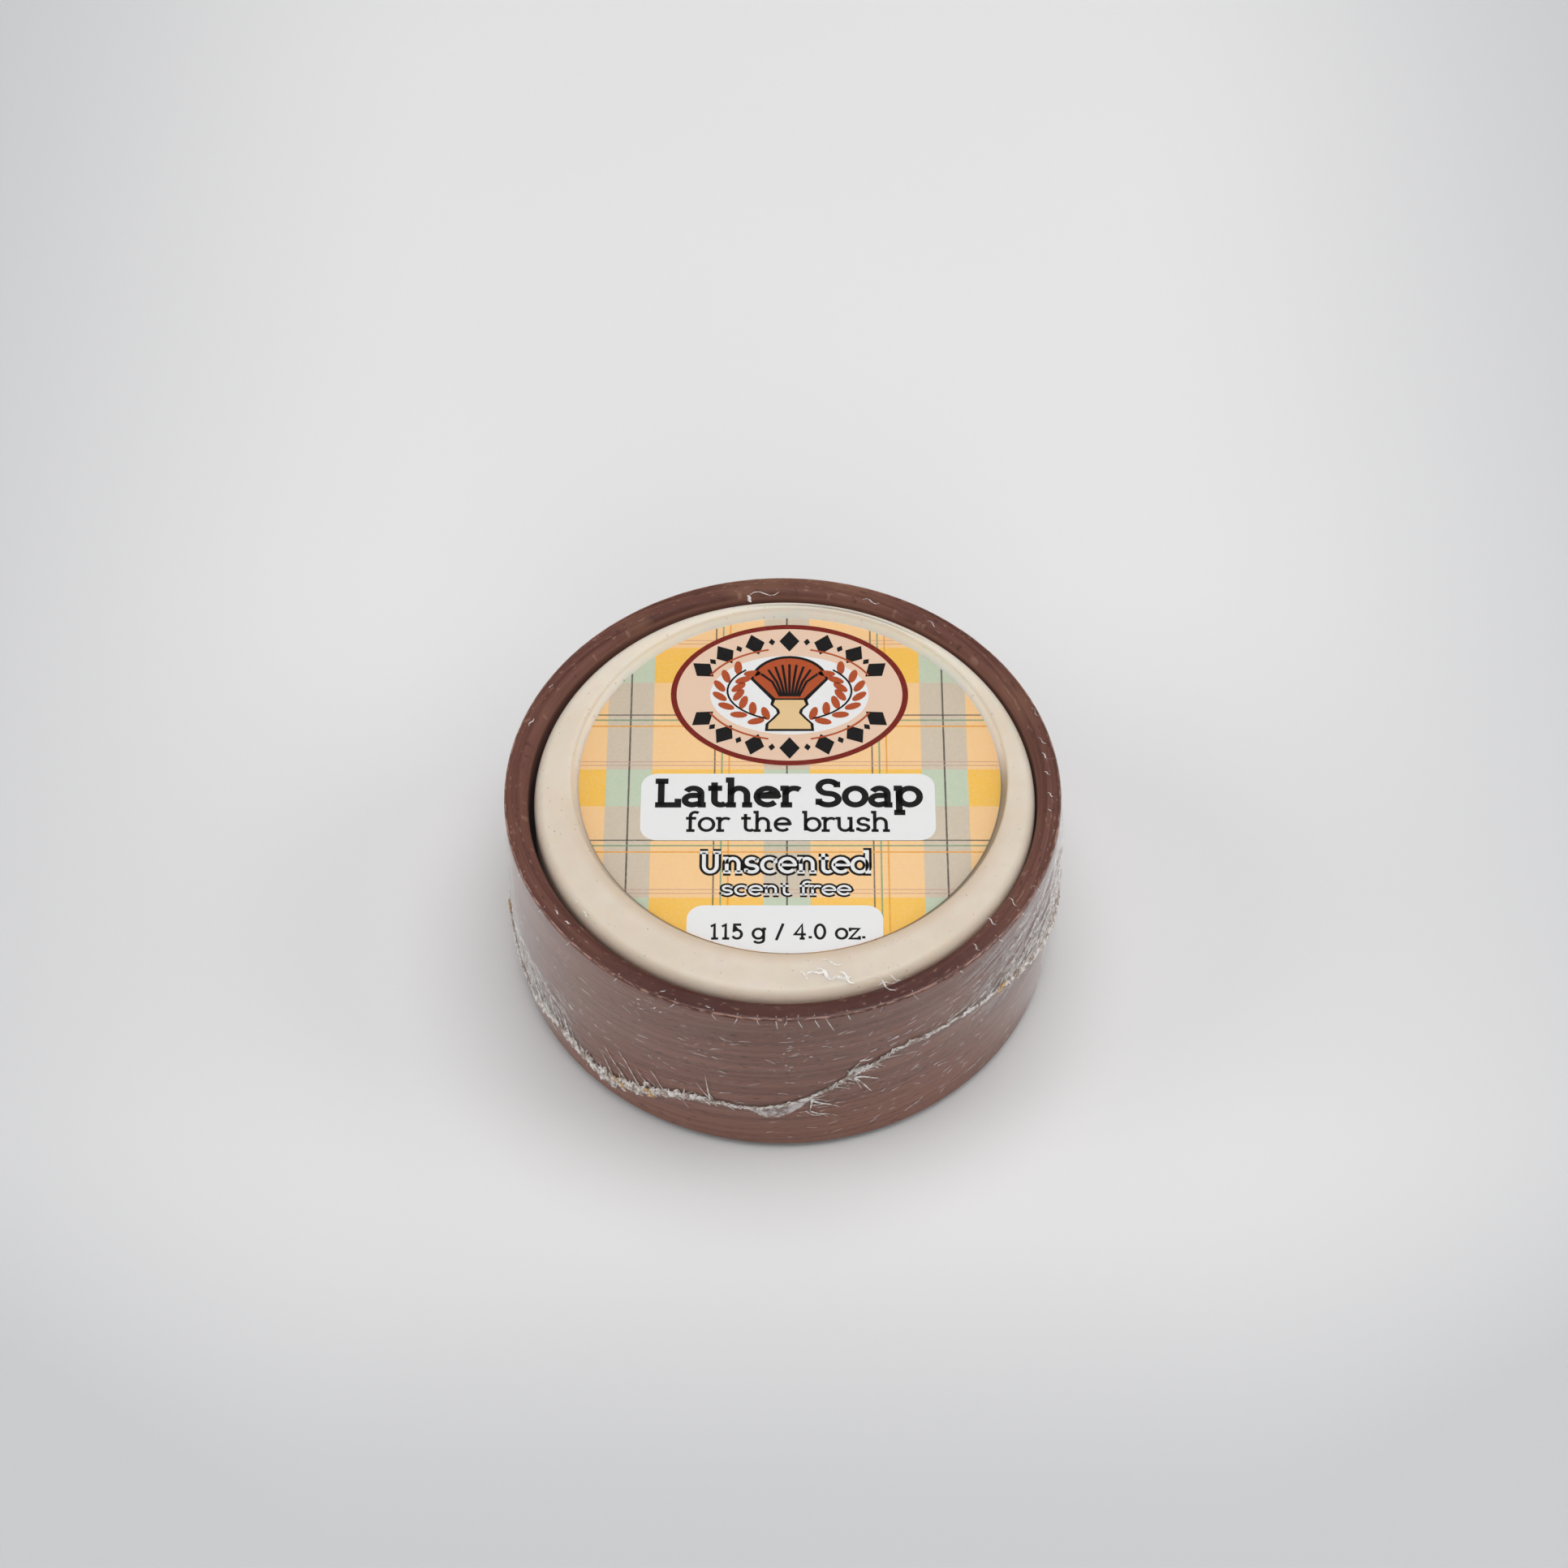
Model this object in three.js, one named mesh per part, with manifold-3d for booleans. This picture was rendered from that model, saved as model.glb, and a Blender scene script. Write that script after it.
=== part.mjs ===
// Shaving bowl: a turned wooden bowl that holds a puck of shaving soap, sealed in clear shrink film.
// Millimetres, +Z up. The origin is the centre of the base, on the surface that the bowl stands on.

import * as THREE from 'three';
import { mergeVertices } from 'three/addons/utils/BufferGeometryUtils.js';
import Module from 'manifold-3d';

// Bowl
const BOWL_DIAMETER = 84; // outside, at the rim
const BOWL_HEIGHT = 34.6;
const SIDE_TAPER = 0.4; // how much smaller the radius is at the base
const WALL_THICKNESS = 3.5; // at the rim, from the outside to the straight bore
const FLOOR_THICKNESS = 7.4;
const RIM_ARRIS_RADIUS = 0.35; // outer edge of the rim
const RIM_ROUND_WIDTH = 1.4; // inner edge of the rim, measured across the wall
const RIM_ROUND_DEPTH = 1.8; // inner edge of the rim, measured down the bore
const BASE_EDGE_RADIUS = 0.8;
const FLOOR_FILLET = 3; // between the bore and the floor, and on the puck's lower edge
const FOOT_RING_WIDTH = 8; // flat ring that the bowl stands on
const RECESS_DEPTH = 1; // inside the foot ring
const RECESS_DRAFT = 0.5;

// Soap puck
const PUCK_CLEARANCE = 0.6; // all round, when the puck is centred in the bore
const PUCK_OFFSET = 0.28; // the puck lies this far to +X of the bowl's axis
const PUCK_BELOW_RIM = 0;
const PUCK_SHOULDER = 1.9; // radius of the top edge
const LIP_WIDTH = 5.35; // from the puck's side to the dish's floor, when the dish is centred
const DISH_DEPTH = 1.7;
const DISH_DRAFT = 0.7; // the dish widens by this much from its floor to its lip
const DISH_OFFSET = new THREE.Vector2(0.77, 2.85); // from the puck's axis, for the dish and its label

// Labels
const LABEL_THICKNESS = 0.2;
const LABEL_CLEARANCE = 0.5; // from the edge of the dish's floor
const BASE_LABEL_CLEARANCE = 1.5; // from the recess's edge

// Shrink film
const FILM_THICKNESS = 0.3;
const SEAM_HEIGHT = 0.9;
const SEAM_THICKNESS = 0.7;
const SEAM_POINTS = [ // degrees about +Z from +X, and height above the base
  [-172, 12], [-157, 6.2], [-143, 7.6], [-131, 5.2], [-121, 7.8], [-110, 11.2], [-96, 11.4], [-85, 14],
  [-77, 18.4], [-66, 22.4], [-54, 22.8], [-40, 21.6], [-27, 18.6], [-12, 15.7], [4, 14.6], [30, 16.2],
  [60, 19], [90, 20.6], [120, 18.4], [150, 15],
];

// Fit
const GAP = 0.3; // between pieces that touch

// Facets
const SEGMENTS = 72; // round the axis
const ARC_STEPS = 3;

// Heights and radii that follow from the sizes above
const bowlRadius = BOWL_DIAMETER / 2;
const baseRadius = bowlRadius - SIDE_TAPER;
const boreRadius = bowlRadius - WALL_THICKNESS;
const recessRadius = baseRadius - FOOT_RING_WIDTH;
const puckRadius = boreRadius - PUCK_CLEARANCE;
const dishRadius = puckRadius - LIP_WIDTH;
const labelRadius = dishRadius - LABEL_CLEARANCE;
const baseLabelRadius = recessRadius - BASE_LABEL_CLEARANCE;
const bowlBase = FILM_THICKNESS + GAP;
const bowlFloor = bowlBase + FLOOR_THICKNESS;
const rimTop = bowlBase + BOWL_HEIGHT;
const puckBase = bowlFloor + GAP;
const puckHeight = rimTop - PUCK_BELOW_RIM - puckBase;
const filmUnderside = Math.max(rimTop, puckBase + puckHeight) + GAP;
const seamToFilm = SEAM_HEIGHT / 2 + GAP;

const wasm = await Module();
wasm.setup();

function point(radius, height) {
  return new THREE.Vector2(radius, height);
}

// Points on a quarter of an ellipse, or of a circle when one radius is given.
function arc(centre, fromDegrees, toDegrees, radius, radiusUp = radius) {
  return Array.from({ length: ARC_STEPS + 1 }, (_, i) => {
    const degrees = THREE.MathUtils.lerp(fromDegrees, toDegrees, i / ARC_STEPS);
    const angle = THREE.MathUtils.degToRad(degrees);
    return point(centre.x + radius * Math.cos(angle), centre.y + radiusUp * Math.sin(angle));
  });
}

// A turned solid. The outline runs up the outside and closes on the axis.
function turned(outline) {
  return new THREE.LatheGeometry(outline, SEGMENTS).rotateX(Math.PI / 2);
}

function disc(radius, thickness) {
  return turned([point(0, 0), point(radius, 0), point(radius, thickness), point(0, thickness)]);
}

// A solid swept once round the axis, whose outline changes with the angle. An outline that leaves the
// axis and comes back to it closes there, and any other outline is a ring that closes on itself.
function sweptRound(outlineAt) {
  const positions = [];
  const indices = [];
  const count = outlineAt(0).length;
  for (let i = 0; i < SEGMENTS; i += 1) {
    const angle = (i / SEGMENTS) * 2 * Math.PI;
    for (const { x, y } of outlineAt(angle)) {
      positions.push(x * Math.cos(angle), x * Math.sin(angle), y);
    }
  }
  const isOnAxis = (index) => Math.hypot(positions[3 * index], positions[3 * index + 1]) < 1e-9;
  const addTriangle = (a, b, c) => {
    const poles = [a, b, c].filter(isOnAxis).length;
    if (poles < 2) indices.push(a, b, c);
  };
  for (let i = 0; i < SEGMENTS; i += 1) {
    for (let j = 0; j < count; j += 1) {
      const here = i * count;
      const next = ((i + 1) % SEGMENTS) * count;
      const k = (j + 1) % count;
      addTriangle(here + j, next + j, here + k);
      addTriangle(next + k, here + k, next + j);
    }
  }
  const geometry = new THREE.BufferGeometry();
  geometry.setAttribute('position', new THREE.Float32BufferAttribute(positions, 3));
  geometry.setIndex(indices);
  const merged = mergeVertices(geometry);
  merged.computeVertexNormals();
  return merged;
}

function toManifold(geometry) {
  const bare = geometry.clone();
  bare.deleteAttribute('normal');
  bare.deleteAttribute('uv');
  const merged = mergeVertices(bare);
  const mesh = new wasm.Mesh({
    numProp: 3,
    vertProperties: new Float32Array(merged.attributes.position.array),
    triVerts: new Uint32Array(merged.index.array),
  });
  return new wasm.Manifold(mesh);
}

function fromManifold(solid) {
  const { vertProperties, triVerts } = solid.getMesh();
  const geometry = new THREE.BufferGeometry();
  geometry.setAttribute('position', new THREE.BufferAttribute(vertProperties, 3));
  geometry.setIndex(new THREE.BufferAttribute(triVerts, 1));
  geometry.computeVertexNormals();
  return geometry;
}

// Outside radius of the bowl's tapered side at a height above the base.
function sideRadius(height) {
  return THREE.MathUtils.mapLinear(height, bowlBase, rimTop, baseRadius, bowlRadius);
}

// Height of the film's weld at an angle, as a smooth closed curve through SEAM_POINTS.
function seamHeight(angle) {
  const degrees = THREE.MathUtils.radToDeg(angle);
  const count = SEAM_POINTS.length;
  const pointAt = (i) => {
    const turns = Math.floor(i / count);
    const [pointDegrees, height] = SEAM_POINTS[i - turns * count];
    return [pointDegrees + 360 * turns, height];
  };
  let i = 0;
  while (pointAt(i + 1)[0] <= degrees) i += 1;
  const [before, from, to, after] = [i - 1, i, i + 1, i + 2].map(pointAt);
  const span = to[0] - from[0];
  const t = (degrees - from[0]) / span;
  const startSlope = (to[1] - before[1]) / (to[0] - before[0]) * span;
  const endSlope = (after[1] - from[1]) / (after[0] - from[0]) * span;
  const hermite = new THREE.Vector4(
    2 * t ** 3 - 3 * t ** 2 + 1, t ** 3 - 2 * t ** 2 + t, 3 * t ** 2 - 2 * t ** 3, t ** 3 - t ** 2,
  );
  return hermite.dot(new THREE.Vector4(from[1], startSlope, to[1], endSlope));
}

function bowlGeometry() {
  const recessTop = bowlBase + RECESS_DEPTH;
  return turned([
    point(0, recessTop),
    point(recessRadius, recessTop),
    point(recessRadius + RECESS_DRAFT, bowlBase),
    ...arc(point(baseRadius - BASE_EDGE_RADIUS, bowlBase + BASE_EDGE_RADIUS), -90, 0, BASE_EDGE_RADIUS),
    ...arc(point(bowlRadius - RIM_ARRIS_RADIUS, rimTop - RIM_ARRIS_RADIUS), 0, 90, RIM_ARRIS_RADIUS),
    ...arc(point(boreRadius + RIM_ROUND_WIDTH, rimTop - RIM_ROUND_DEPTH), 90, 180,
      RIM_ROUND_WIDTH, RIM_ROUND_DEPTH),
    ...arc(point(boreRadius - FLOOR_FILLET, bowlFloor + FLOOR_FILLET), 0, -90, FLOOR_FILLET),
    point(0, bowlFloor),
  ]);
}

function puckGeometry() {
  const body = turned([
    point(0, 0),
    ...arc(point(puckRadius - FLOOR_FILLET, FLOOR_FILLET), -90, 0, FLOOR_FILLET),
    ...arc(point(puckRadius - PUCK_SHOULDER, puckHeight - PUCK_SHOULDER), 0, 90, PUCK_SHOULDER),
    point(0, puckHeight),
  ]);
  const dish = turned([
    point(0, 0),
    point(dishRadius, 0),
    point(dishRadius + DISH_DRAFT, DISH_DEPTH),
    point(dishRadius + DISH_DRAFT, 2 * DISH_DEPTH),
    point(0, 2 * DISH_DEPTH),
  ]);
  dish.translate(DISH_OFFSET.x, DISH_OFFSET.y, puckHeight - DISH_DEPTH);
  return fromManifold(toManifold(body).subtract(toManifold(dish)));
}

// The sheet over the top and down the side, as far as the weld.
function upperFilmGeometry() {
  const inner = RIM_ARRIS_RADIUS + GAP;
  const outer = inner + FILM_THICKNESS;
  const corner = point(bowlRadius - RIM_ARRIS_RADIUS, filmUnderside - inner);
  return sweptRound((angle) => {
    const edge = seamHeight(angle) + seamToFilm;
    const inside = sideRadius(edge) + GAP;
    return [
      point(0, filmUnderside),
      ...arc(corner, 90, 0, inner),
      point(inside, edge),
      point(inside + FILM_THICKNESS, edge),
      ...arc(corner, 0, 90, outer),
      point(0, filmUnderside + FILM_THICKNESS),
    ];
  });
}

// The sheet under the base and up the side, as far as the weld.
function lowerFilmGeometry() {
  const inner = BASE_EDGE_RADIUS + GAP;
  const outer = inner + FILM_THICKNESS;
  const corner = point(baseRadius - BASE_EDGE_RADIUS, bowlBase + BASE_EDGE_RADIUS);
  return sweptRound((angle) => {
    const edge = seamHeight(angle) - seamToFilm;
    const inside = sideRadius(edge) + GAP;
    return [
      point(0, 0),
      ...arc(corner, -90, 0, outer),
      point(inside + FILM_THICKNESS, edge),
      point(inside, edge),
      ...arc(corner, 0, -90, inner),
      point(0, FILM_THICKNESS),
    ];
  });
}

// The weld between the two sheets: a bead that follows their edges round the side.
function seamGeometry() {
  return sweptRound((angle) => {
    const height = seamHeight(angle);
    const inside = sideRadius(height) + GAP;
    const outside = inside + SEAM_THICKNESS;
    return [
      point(inside, height - SEAM_HEIGHT / 2),
      point(outside, height - SEAM_HEIGHT / 4),
      point(outside, height + SEAM_HEIGHT / 4),
      point(inside, height + SEAM_HEIGHT / 2),
    ];
  });
}

function part(name, geometry, material, [x, y, z] = [0, 0, 0]) {
  const mesh = new THREE.Mesh(geometry, new THREE.MeshStandardMaterial(material));
  mesh.name = name;
  mesh.position.set(x, y, z);
  return mesh;
}

const stainedWood = { color: '#5c3f39', roughness: 0.5, metalness: 0 };
const soap = { color: '#ded3c5', roughness: 0.45, metalness: 0 };
const printedPaper = { color: '#f0c38c', roughness: 0.7, metalness: 0 };
const plainPaper = { color: '#eeeae2', roughness: 0.7, metalness: 0 };
const clearFilm = { color: '#ffffff', roughness: 0.15, metalness: 0, transparent: true, opacity: 0.25 };
const weldedFilm = { color: '#ece9e4', roughness: 0.35, metalness: 0 };

function bowlGroup() {
  const group = new THREE.Group();
  const baseLabelHeight = bowlBase + RECESS_DEPTH - GAP - LABEL_THICKNESS;
  group.add(
    part('bowl', bowlGeometry(), stainedWood),
    part('base_label', disc(baseLabelRadius, LABEL_THICKNESS), plainPaper, [0, 0, baseLabelHeight]),
  );
  return group;
}

function soapGroup() {
  const group = new THREE.Group();
  group.position.set(PUCK_OFFSET, 0, puckBase);
  const { x, y } = DISH_OFFSET;
  const labelHeight = puckHeight - DISH_DEPTH + GAP;
  group.add(
    part('soap_puck', puckGeometry(), soap),
    part('top_label', disc(labelRadius, LABEL_THICKNESS), printedPaper, [x, y, labelHeight]),
  );
  return group;
}

function filmGroup() {
  const group = new THREE.Group();
  group.add(
    part('film_upper', upperFilmGeometry(), clearFilm),
    part('film_lower', lowerFilmGeometry(), clearFilm),
    part('film_seam', seamGeometry(), weldedFilm),
  );
  return group;
}

const shavingBowl = new THREE.Group();
shavingBowl.add(bowlGroup(), soapGroup(), filmGroup());

export default shavingBowl;
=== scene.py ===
"""Looks of the shaving bowl: turned wood, soap puck, printed label and shrink film, round the CAD frame."""

import math
import random

import bmesh
import bpy
import numpy as np
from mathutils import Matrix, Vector, noise


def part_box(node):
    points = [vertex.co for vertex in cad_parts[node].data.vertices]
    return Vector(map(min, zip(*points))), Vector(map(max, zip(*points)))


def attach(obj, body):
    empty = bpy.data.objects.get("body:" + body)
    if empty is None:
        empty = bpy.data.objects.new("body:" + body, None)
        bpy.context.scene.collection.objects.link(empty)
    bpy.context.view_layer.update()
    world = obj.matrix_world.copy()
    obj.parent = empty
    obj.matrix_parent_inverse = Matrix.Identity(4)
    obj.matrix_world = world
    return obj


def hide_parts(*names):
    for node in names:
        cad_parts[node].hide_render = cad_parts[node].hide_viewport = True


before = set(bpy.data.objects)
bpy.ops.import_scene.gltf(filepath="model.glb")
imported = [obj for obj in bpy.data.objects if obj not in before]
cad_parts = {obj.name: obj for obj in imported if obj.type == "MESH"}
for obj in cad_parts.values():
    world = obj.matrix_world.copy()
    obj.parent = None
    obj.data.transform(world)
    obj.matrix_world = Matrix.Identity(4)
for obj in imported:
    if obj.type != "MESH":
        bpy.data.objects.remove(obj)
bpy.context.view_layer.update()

MM = 0.001
TAU = 2 * math.pi

# Places and sizes that the frame gives, in metres
bowl_low, bowl_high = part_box("bowl")
puck_low, puck_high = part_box("soap_puck")
label_low, label_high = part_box("top_label")
base_label_low, base_label_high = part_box("base_label")
BOWL_RADIUS = (bowl_high.x - bowl_low.x) / 2
BOWL_BASE = bowl_low.z
RIM_TOP = bowl_high.z
PUCK_RADIUS = (puck_high.x - puck_low.x) / 2
PUCK_CENTRE = (puck_low + puck_high) / 2
LABEL_RADIUS = (label_high.x - label_low.x) / 2
LABEL_CENTRE = (label_low + label_high) / 2
BASE_LABEL_RADIUS = (base_label_high.x - base_label_low.x) / 2

# Sizes repeated from the design
SIDE_TAPER = 0.4 * MM
WALL = 3.5 * MM
FLOOR_THICKNESS = 7.4 * MM
RIM_ROUND = (1.2 * MM, 1.6 * MM)
RIM_ARRIS = 0.22 * MM
BASE_EDGE = 0.8 * MM
FOOT_RING = 8 * MM
RECESS_DEPTH = 1 * MM
RECESS_FILLET = 0.3 * MM
RECESS_EDGE = 0.5 * MM
FLOOR_FILLET = 3 * MM
SHOULDER = (1.6 * MM, 2.2 * MM)  # across and down
SHOULDER_SHIFT = 0.05  # share of the dish's offset by which the top of the shoulder is off centre
DISH_DEPTH = 1.7 * MM
DISH_DRAFT = 0.7 * MM
DISH_FILLET = 0.12 * MM
LIP_CORNER = 0.6 * MM
PUCK_FORWARD = 0.2 * MM  # the loose puck stands this much nearer the front, inside its clearance

# The real film and paper are thinner than their solids
FILM_CLEARANCE = 0.07 * MM
FILM_THICKNESS = 0.03 * MM
WELD_GAP = 0.05 * MM  # between the edges of the two sheets, under the weld
PAPER_THICKNESS = 0.12 * MM
INK = 0.012 * MM

AROUND = 288  # segments round a turned piece
FILM_AROUND = 720  # segments round the film, fine enough for its folds
THREAD_SIDES = 6

BORE = BOWL_RADIUS - WALL
BASE_RADIUS = BOWL_RADIUS - SIDE_TAPER
DISH_RADIUS = LABEL_RADIUS + 0.2 * MM  # where the dish's wall meets its floor, close round the label
DISH_CENTRE = Vector((LABEL_CENTRE.x, LABEL_CENTRE.y, 0))
DISH_FLOOR = puck_high.z - DISH_DEPTH


# ---------------------------------------------------------------- mesh helpers

def arc(r, z, radius, start, end, steps=8):
    """Points (r, z) on a quarter turn, or part of one, with a radius or a pair of radii. Degrees."""
    across, up = radius if isinstance(radius, tuple) else (radius, radius)
    turns = np.radians(np.linspace(start, end, steps + 1))
    return [(r + across * math.cos(t), z + up * math.sin(t)) for t in turns]


def make_object(name, verts, faces, material, smooth=True):
    mesh = bpy.data.meshes.new(name)
    mesh.from_pydata([tuple(v) for v in verts], [], faces)
    mesh.materials.append(material)
    work = bmesh.new()
    work.from_mesh(mesh)
    bmesh.ops.recalc_face_normals(work, faces=work.faces)
    work.to_mesh(mesh)
    work.free()
    mesh.polygons.foreach_set("use_smooth", [smooth] * len(mesh.polygons))
    piece = bpy.data.objects.new(name, mesh)
    bpy.context.scene.collection.objects.link(piece)
    return piece


def loft(rings):
    """Vertices and faces through a list of rings. A ring with one point is a pole."""
    verts, faces, starts = [], [], []
    for ring in rings:
        starts.append(len(verts))
        verts.extend(ring)
    for (a, ring), (b, following) in zip(zip(starts, rings), zip(starts[1:], rings[1:])):
        count = max(len(ring), len(following))
        for i in range(count):
            j = (i + 1) % count
            if len(ring) == 1:
                faces.append((a, b + i, b + j))
            elif len(following) == 1:
                faces.append((a + i, a + j, b))
            else:
                faces.append((a + i, a + j, b + j, b + i))
    return verts, faces


def circle(centre, radius, z, count=AROUND, start=0.0):
    if radius == 0:
        return [(centre.x, centre.y, z)]
    turns = [TAU * i / count + start for i in range(count)]
    return [(centre.x + radius * math.cos(t), centre.y + radius * math.sin(t), z) for t in turns]


def finish_piece(piece, body, slot, *nodes):
    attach(piece, body)
    if nodes:
        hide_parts(*nodes)


# ---------------------------------------------------------------- material helper

class Shader:
    """One material's node tree, with short calls for the nodes used here."""

    def __init__(self, name, **constants):
        self.material = bpy.data.materials.new(name)
        self.material.use_nodes = True
        self.tree = self.material.node_tree
        self.surface = self.tree.nodes["Principled BSDF"]
        self.output = self.tree.nodes["Material Output"]
        for socket, value in constants.items():
            self.surface.inputs[socket.replace("_", " ")].default_value = value

    def feed(self, socket, value):
        if isinstance(value, bpy.types.NodeSocket):
            self.tree.links.new(value, socket)
        else:
            socket.default_value = value

    def add(self, kind, inputs=(), **settings):
        node = self.tree.nodes.new(kind)
        for key, value in settings.items():
            setattr(node, key, value)
        for key, value in dict(inputs).items():
            self.feed(node.inputs[key], value)
        return node

    def math(self, operation, *values):
        node = self.add("ShaderNodeMath", operation=operation)
        for socket, value in zip(node.inputs, values):
            self.feed(socket, value)
        return node.outputs[0]

    def times(self, first, second):
        return self.math("MULTIPLY", first, second)

    def plus(self, first, second):
        return self.math("ADD", first, second)

    def minus(self, first, second):
        return self.math("SUBTRACT", first, second)

    def place(self):
        """Object coordinates as a vector and as x, y, z."""
        vector = self.add("ShaderNodeTexCoord").outputs["Object"]
        parts = self.add("ShaderNodeSeparateXYZ", {0: vector}).outputs
        return vector, parts[0], parts[1], parts[2]

    def polar(self, x, y):
        """Distance from the axis, and the cosine and sine of the angle round it."""
        squares = self.math("ADD", self.math("MULTIPLY", x, x), self.math("MULTIPLY", y, y))
        radius = self.math("SQRT", squares)
        return radius, self.math("DIVIDE", x, radius), self.math("DIVIDE", y, radius)

    def vector(self, x, y, z):
        return self.add("ShaderNodeCombineXYZ", {0: x, 1: y, 2: z}).outputs[0]

    def noise(self, vector, scale, detail=3.0, roughness=0.5, distortion=0.0):
        node = self.add("ShaderNodeTexNoise", {
            "Vector": vector, "Scale": scale, "Detail": detail, "Roughness": roughness,
            "Distortion": distortion})
        return node.outputs["Fac"]

    def step(self, value, low, high, start=0.0, end=1.0):
        """Maps value from low..high to start..end, smoothly and clamped."""
        node = self.add("ShaderNodeMapRange", {
            "Value": value, "From Min": low, "From Max": high, "To Min": start, "To Max": end},
            interpolation_type="SMOOTHSTEP")
        return node.outputs["Result"]

    def blend(self, factor, first, second):
        node = self.add("ShaderNodeMix", data_type="RGBA")
        self.feed(node.inputs[0], factor)
        for index, colour in ((6, first), (7, second)):
            value = colour if isinstance(colour, bpy.types.NodeSocket) else (*colour, 1.0)
            self.feed(node.inputs[index], value)
        return node.outputs[2]

    def bump(self, height, distance, after=None):
        inputs = {"Height": height, "Distance": distance}
        if after is not None:
            inputs["Normal"] = after
        return self.add("ShaderNodeBump", inputs).outputs[0]

    def set(self, **sockets):
        for name, value in sockets.items():
            self.feed(self.surface.inputs[name.replace("_", " ")], value)


# ---------------------------------------------------------------- materials

def stained_wood():
    """Dark brown stain on turned wood: streaks that run round the piece, pores, worn edges and golden
    patches, with painted shade on the front of the rim and painted light towards its back and in the bore's
    rounding.
    """
    m = Shader("stained_wood", Specular_IOR_Level=0.25)
    place, x, y, z = m.place()
    radius, around_x, around_y = m.polar(x, y)
    layer = m.minus(m.minus(z, radius), m.times(x, 0.06))

    def turned_noise(round_scale, layer_scale, detail, roughness):
        spot = m.vector(m.times(around_x, round_scale), m.times(around_y, round_scale),
                        m.times(layer, layer_scale))
        return m.noise(spot, 1.0, detail, roughness)

    streaks = turned_noise(0.5, 900.0, 4.0, 0.65)
    lines = turned_noise(0.45, 1900.0, 2.0, 0.5)
    pores = turned_noise(26.0, 2100.0, 1.0, 0.5)
    patches = m.noise(place, 50.0, 3.0, 0.55)
    side = m.times(m.step(radius, BOWL_RADIUS - 0.9 * MM, BOWL_RADIUS - 0.5 * MM),
                   m.step(z, RIM_TOP - 0.15 * MM, RIM_TOP - 0.5 * MM))
    dark = m.blend(side, (0.082, 0.024, 0.015), (0.200, 0.080, 0.054))
    light = m.blend(side, (0.160, 0.060, 0.043), (0.284, 0.123, 0.083))
    colour = m.blend(m.step(streaks, 0.34, 0.66), dark, light)
    colour = m.blend(m.step(lines, 0.54, 0.61, 0.0, 0.5), colour, m.blend(side, dark, (0.150, 0.055, 0.036)))
    # painted shade: the top of the rim gets darker towards the front, away from the side
    shaded = m.times(m.step(y, -0.4 * BOWL_RADIUS, -BOWL_RADIUS, 0.0, 0.95), m.minus(1.0, side))
    colour = m.blend(shaded, colour, (0.050, 0.004, 0.001))
    # golden patches are a tone of the wood that differs at random; that they grow towards the back is painted
    # light
    golden_patches_and_back_light = m.step(y, -0.3 * BOWL_RADIUS, BOWL_RADIUS, 0.1, 0.95)
    golden_patches_and_back_light = m.times(golden_patches_and_back_light, m.step(patches, 0.40, 0.72))
    colour = m.blend(golden_patches_and_back_light, colour, (0.235, 0.112, 0.062))
    colour = m.blend(m.step(pores, 0.64, 0.72, 0.0, 0.50), colour, (0.036, 0.014, 0.010))
    colour = m.blend(m.step(pores, 0.36, 0.28, 0.0, 0.40), colour, (0.330, 0.190, 0.130))
    worn = m.times(m.step(radius, BOWL_RADIUS - 0.3 * MM, BOWL_RADIUS - 0.15 * MM),
                   m.step(z, RIM_TOP - 0.40 * MM, RIM_TOP - 0.20 * MM))
    worn = m.times(worn, m.step(pores, 0.45, 0.60, 0.1, 0.75))
    colour = m.blend(worn, colour, (0.480, 0.260, 0.200))
    # painted light: the lower part of the bore's rounding is lightened on the right and at the back, where
    # the crevice by the soap falls into shade
    inside = m.times(m.step(radius, BORE + 0.8 * MM, BORE + 0.2 * MM),
                     m.step(z, RIM_TOP - 0.4 * MM, RIM_TOP - 1.0 * MM))
    inside = m.times(inside, m.step(z, RIM_TOP - 6 * MM, RIM_TOP - 3 * MM, 0.0, 0.8))
    painted_light_side = m.math("MAXIMUM", m.step(x, -0.5 * BOWL_RADIUS, 0.1 * BOWL_RADIUS),
                       m.step(y, -0.3 * BOWL_RADIUS, 0.2 * BOWL_RADIUS))
    colour = m.blend(m.times(inside, painted_light_side), colour, (0.230, 0.105, 0.075))
    relief = m.bump(lines, 0.00003, m.bump(streaks, 0.00010))
    m.set(Base_Color=colour, Roughness=m.step(lines, 0.3, 0.7, 0.62, 0.46), Normal=relief)
    return m.material


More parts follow.
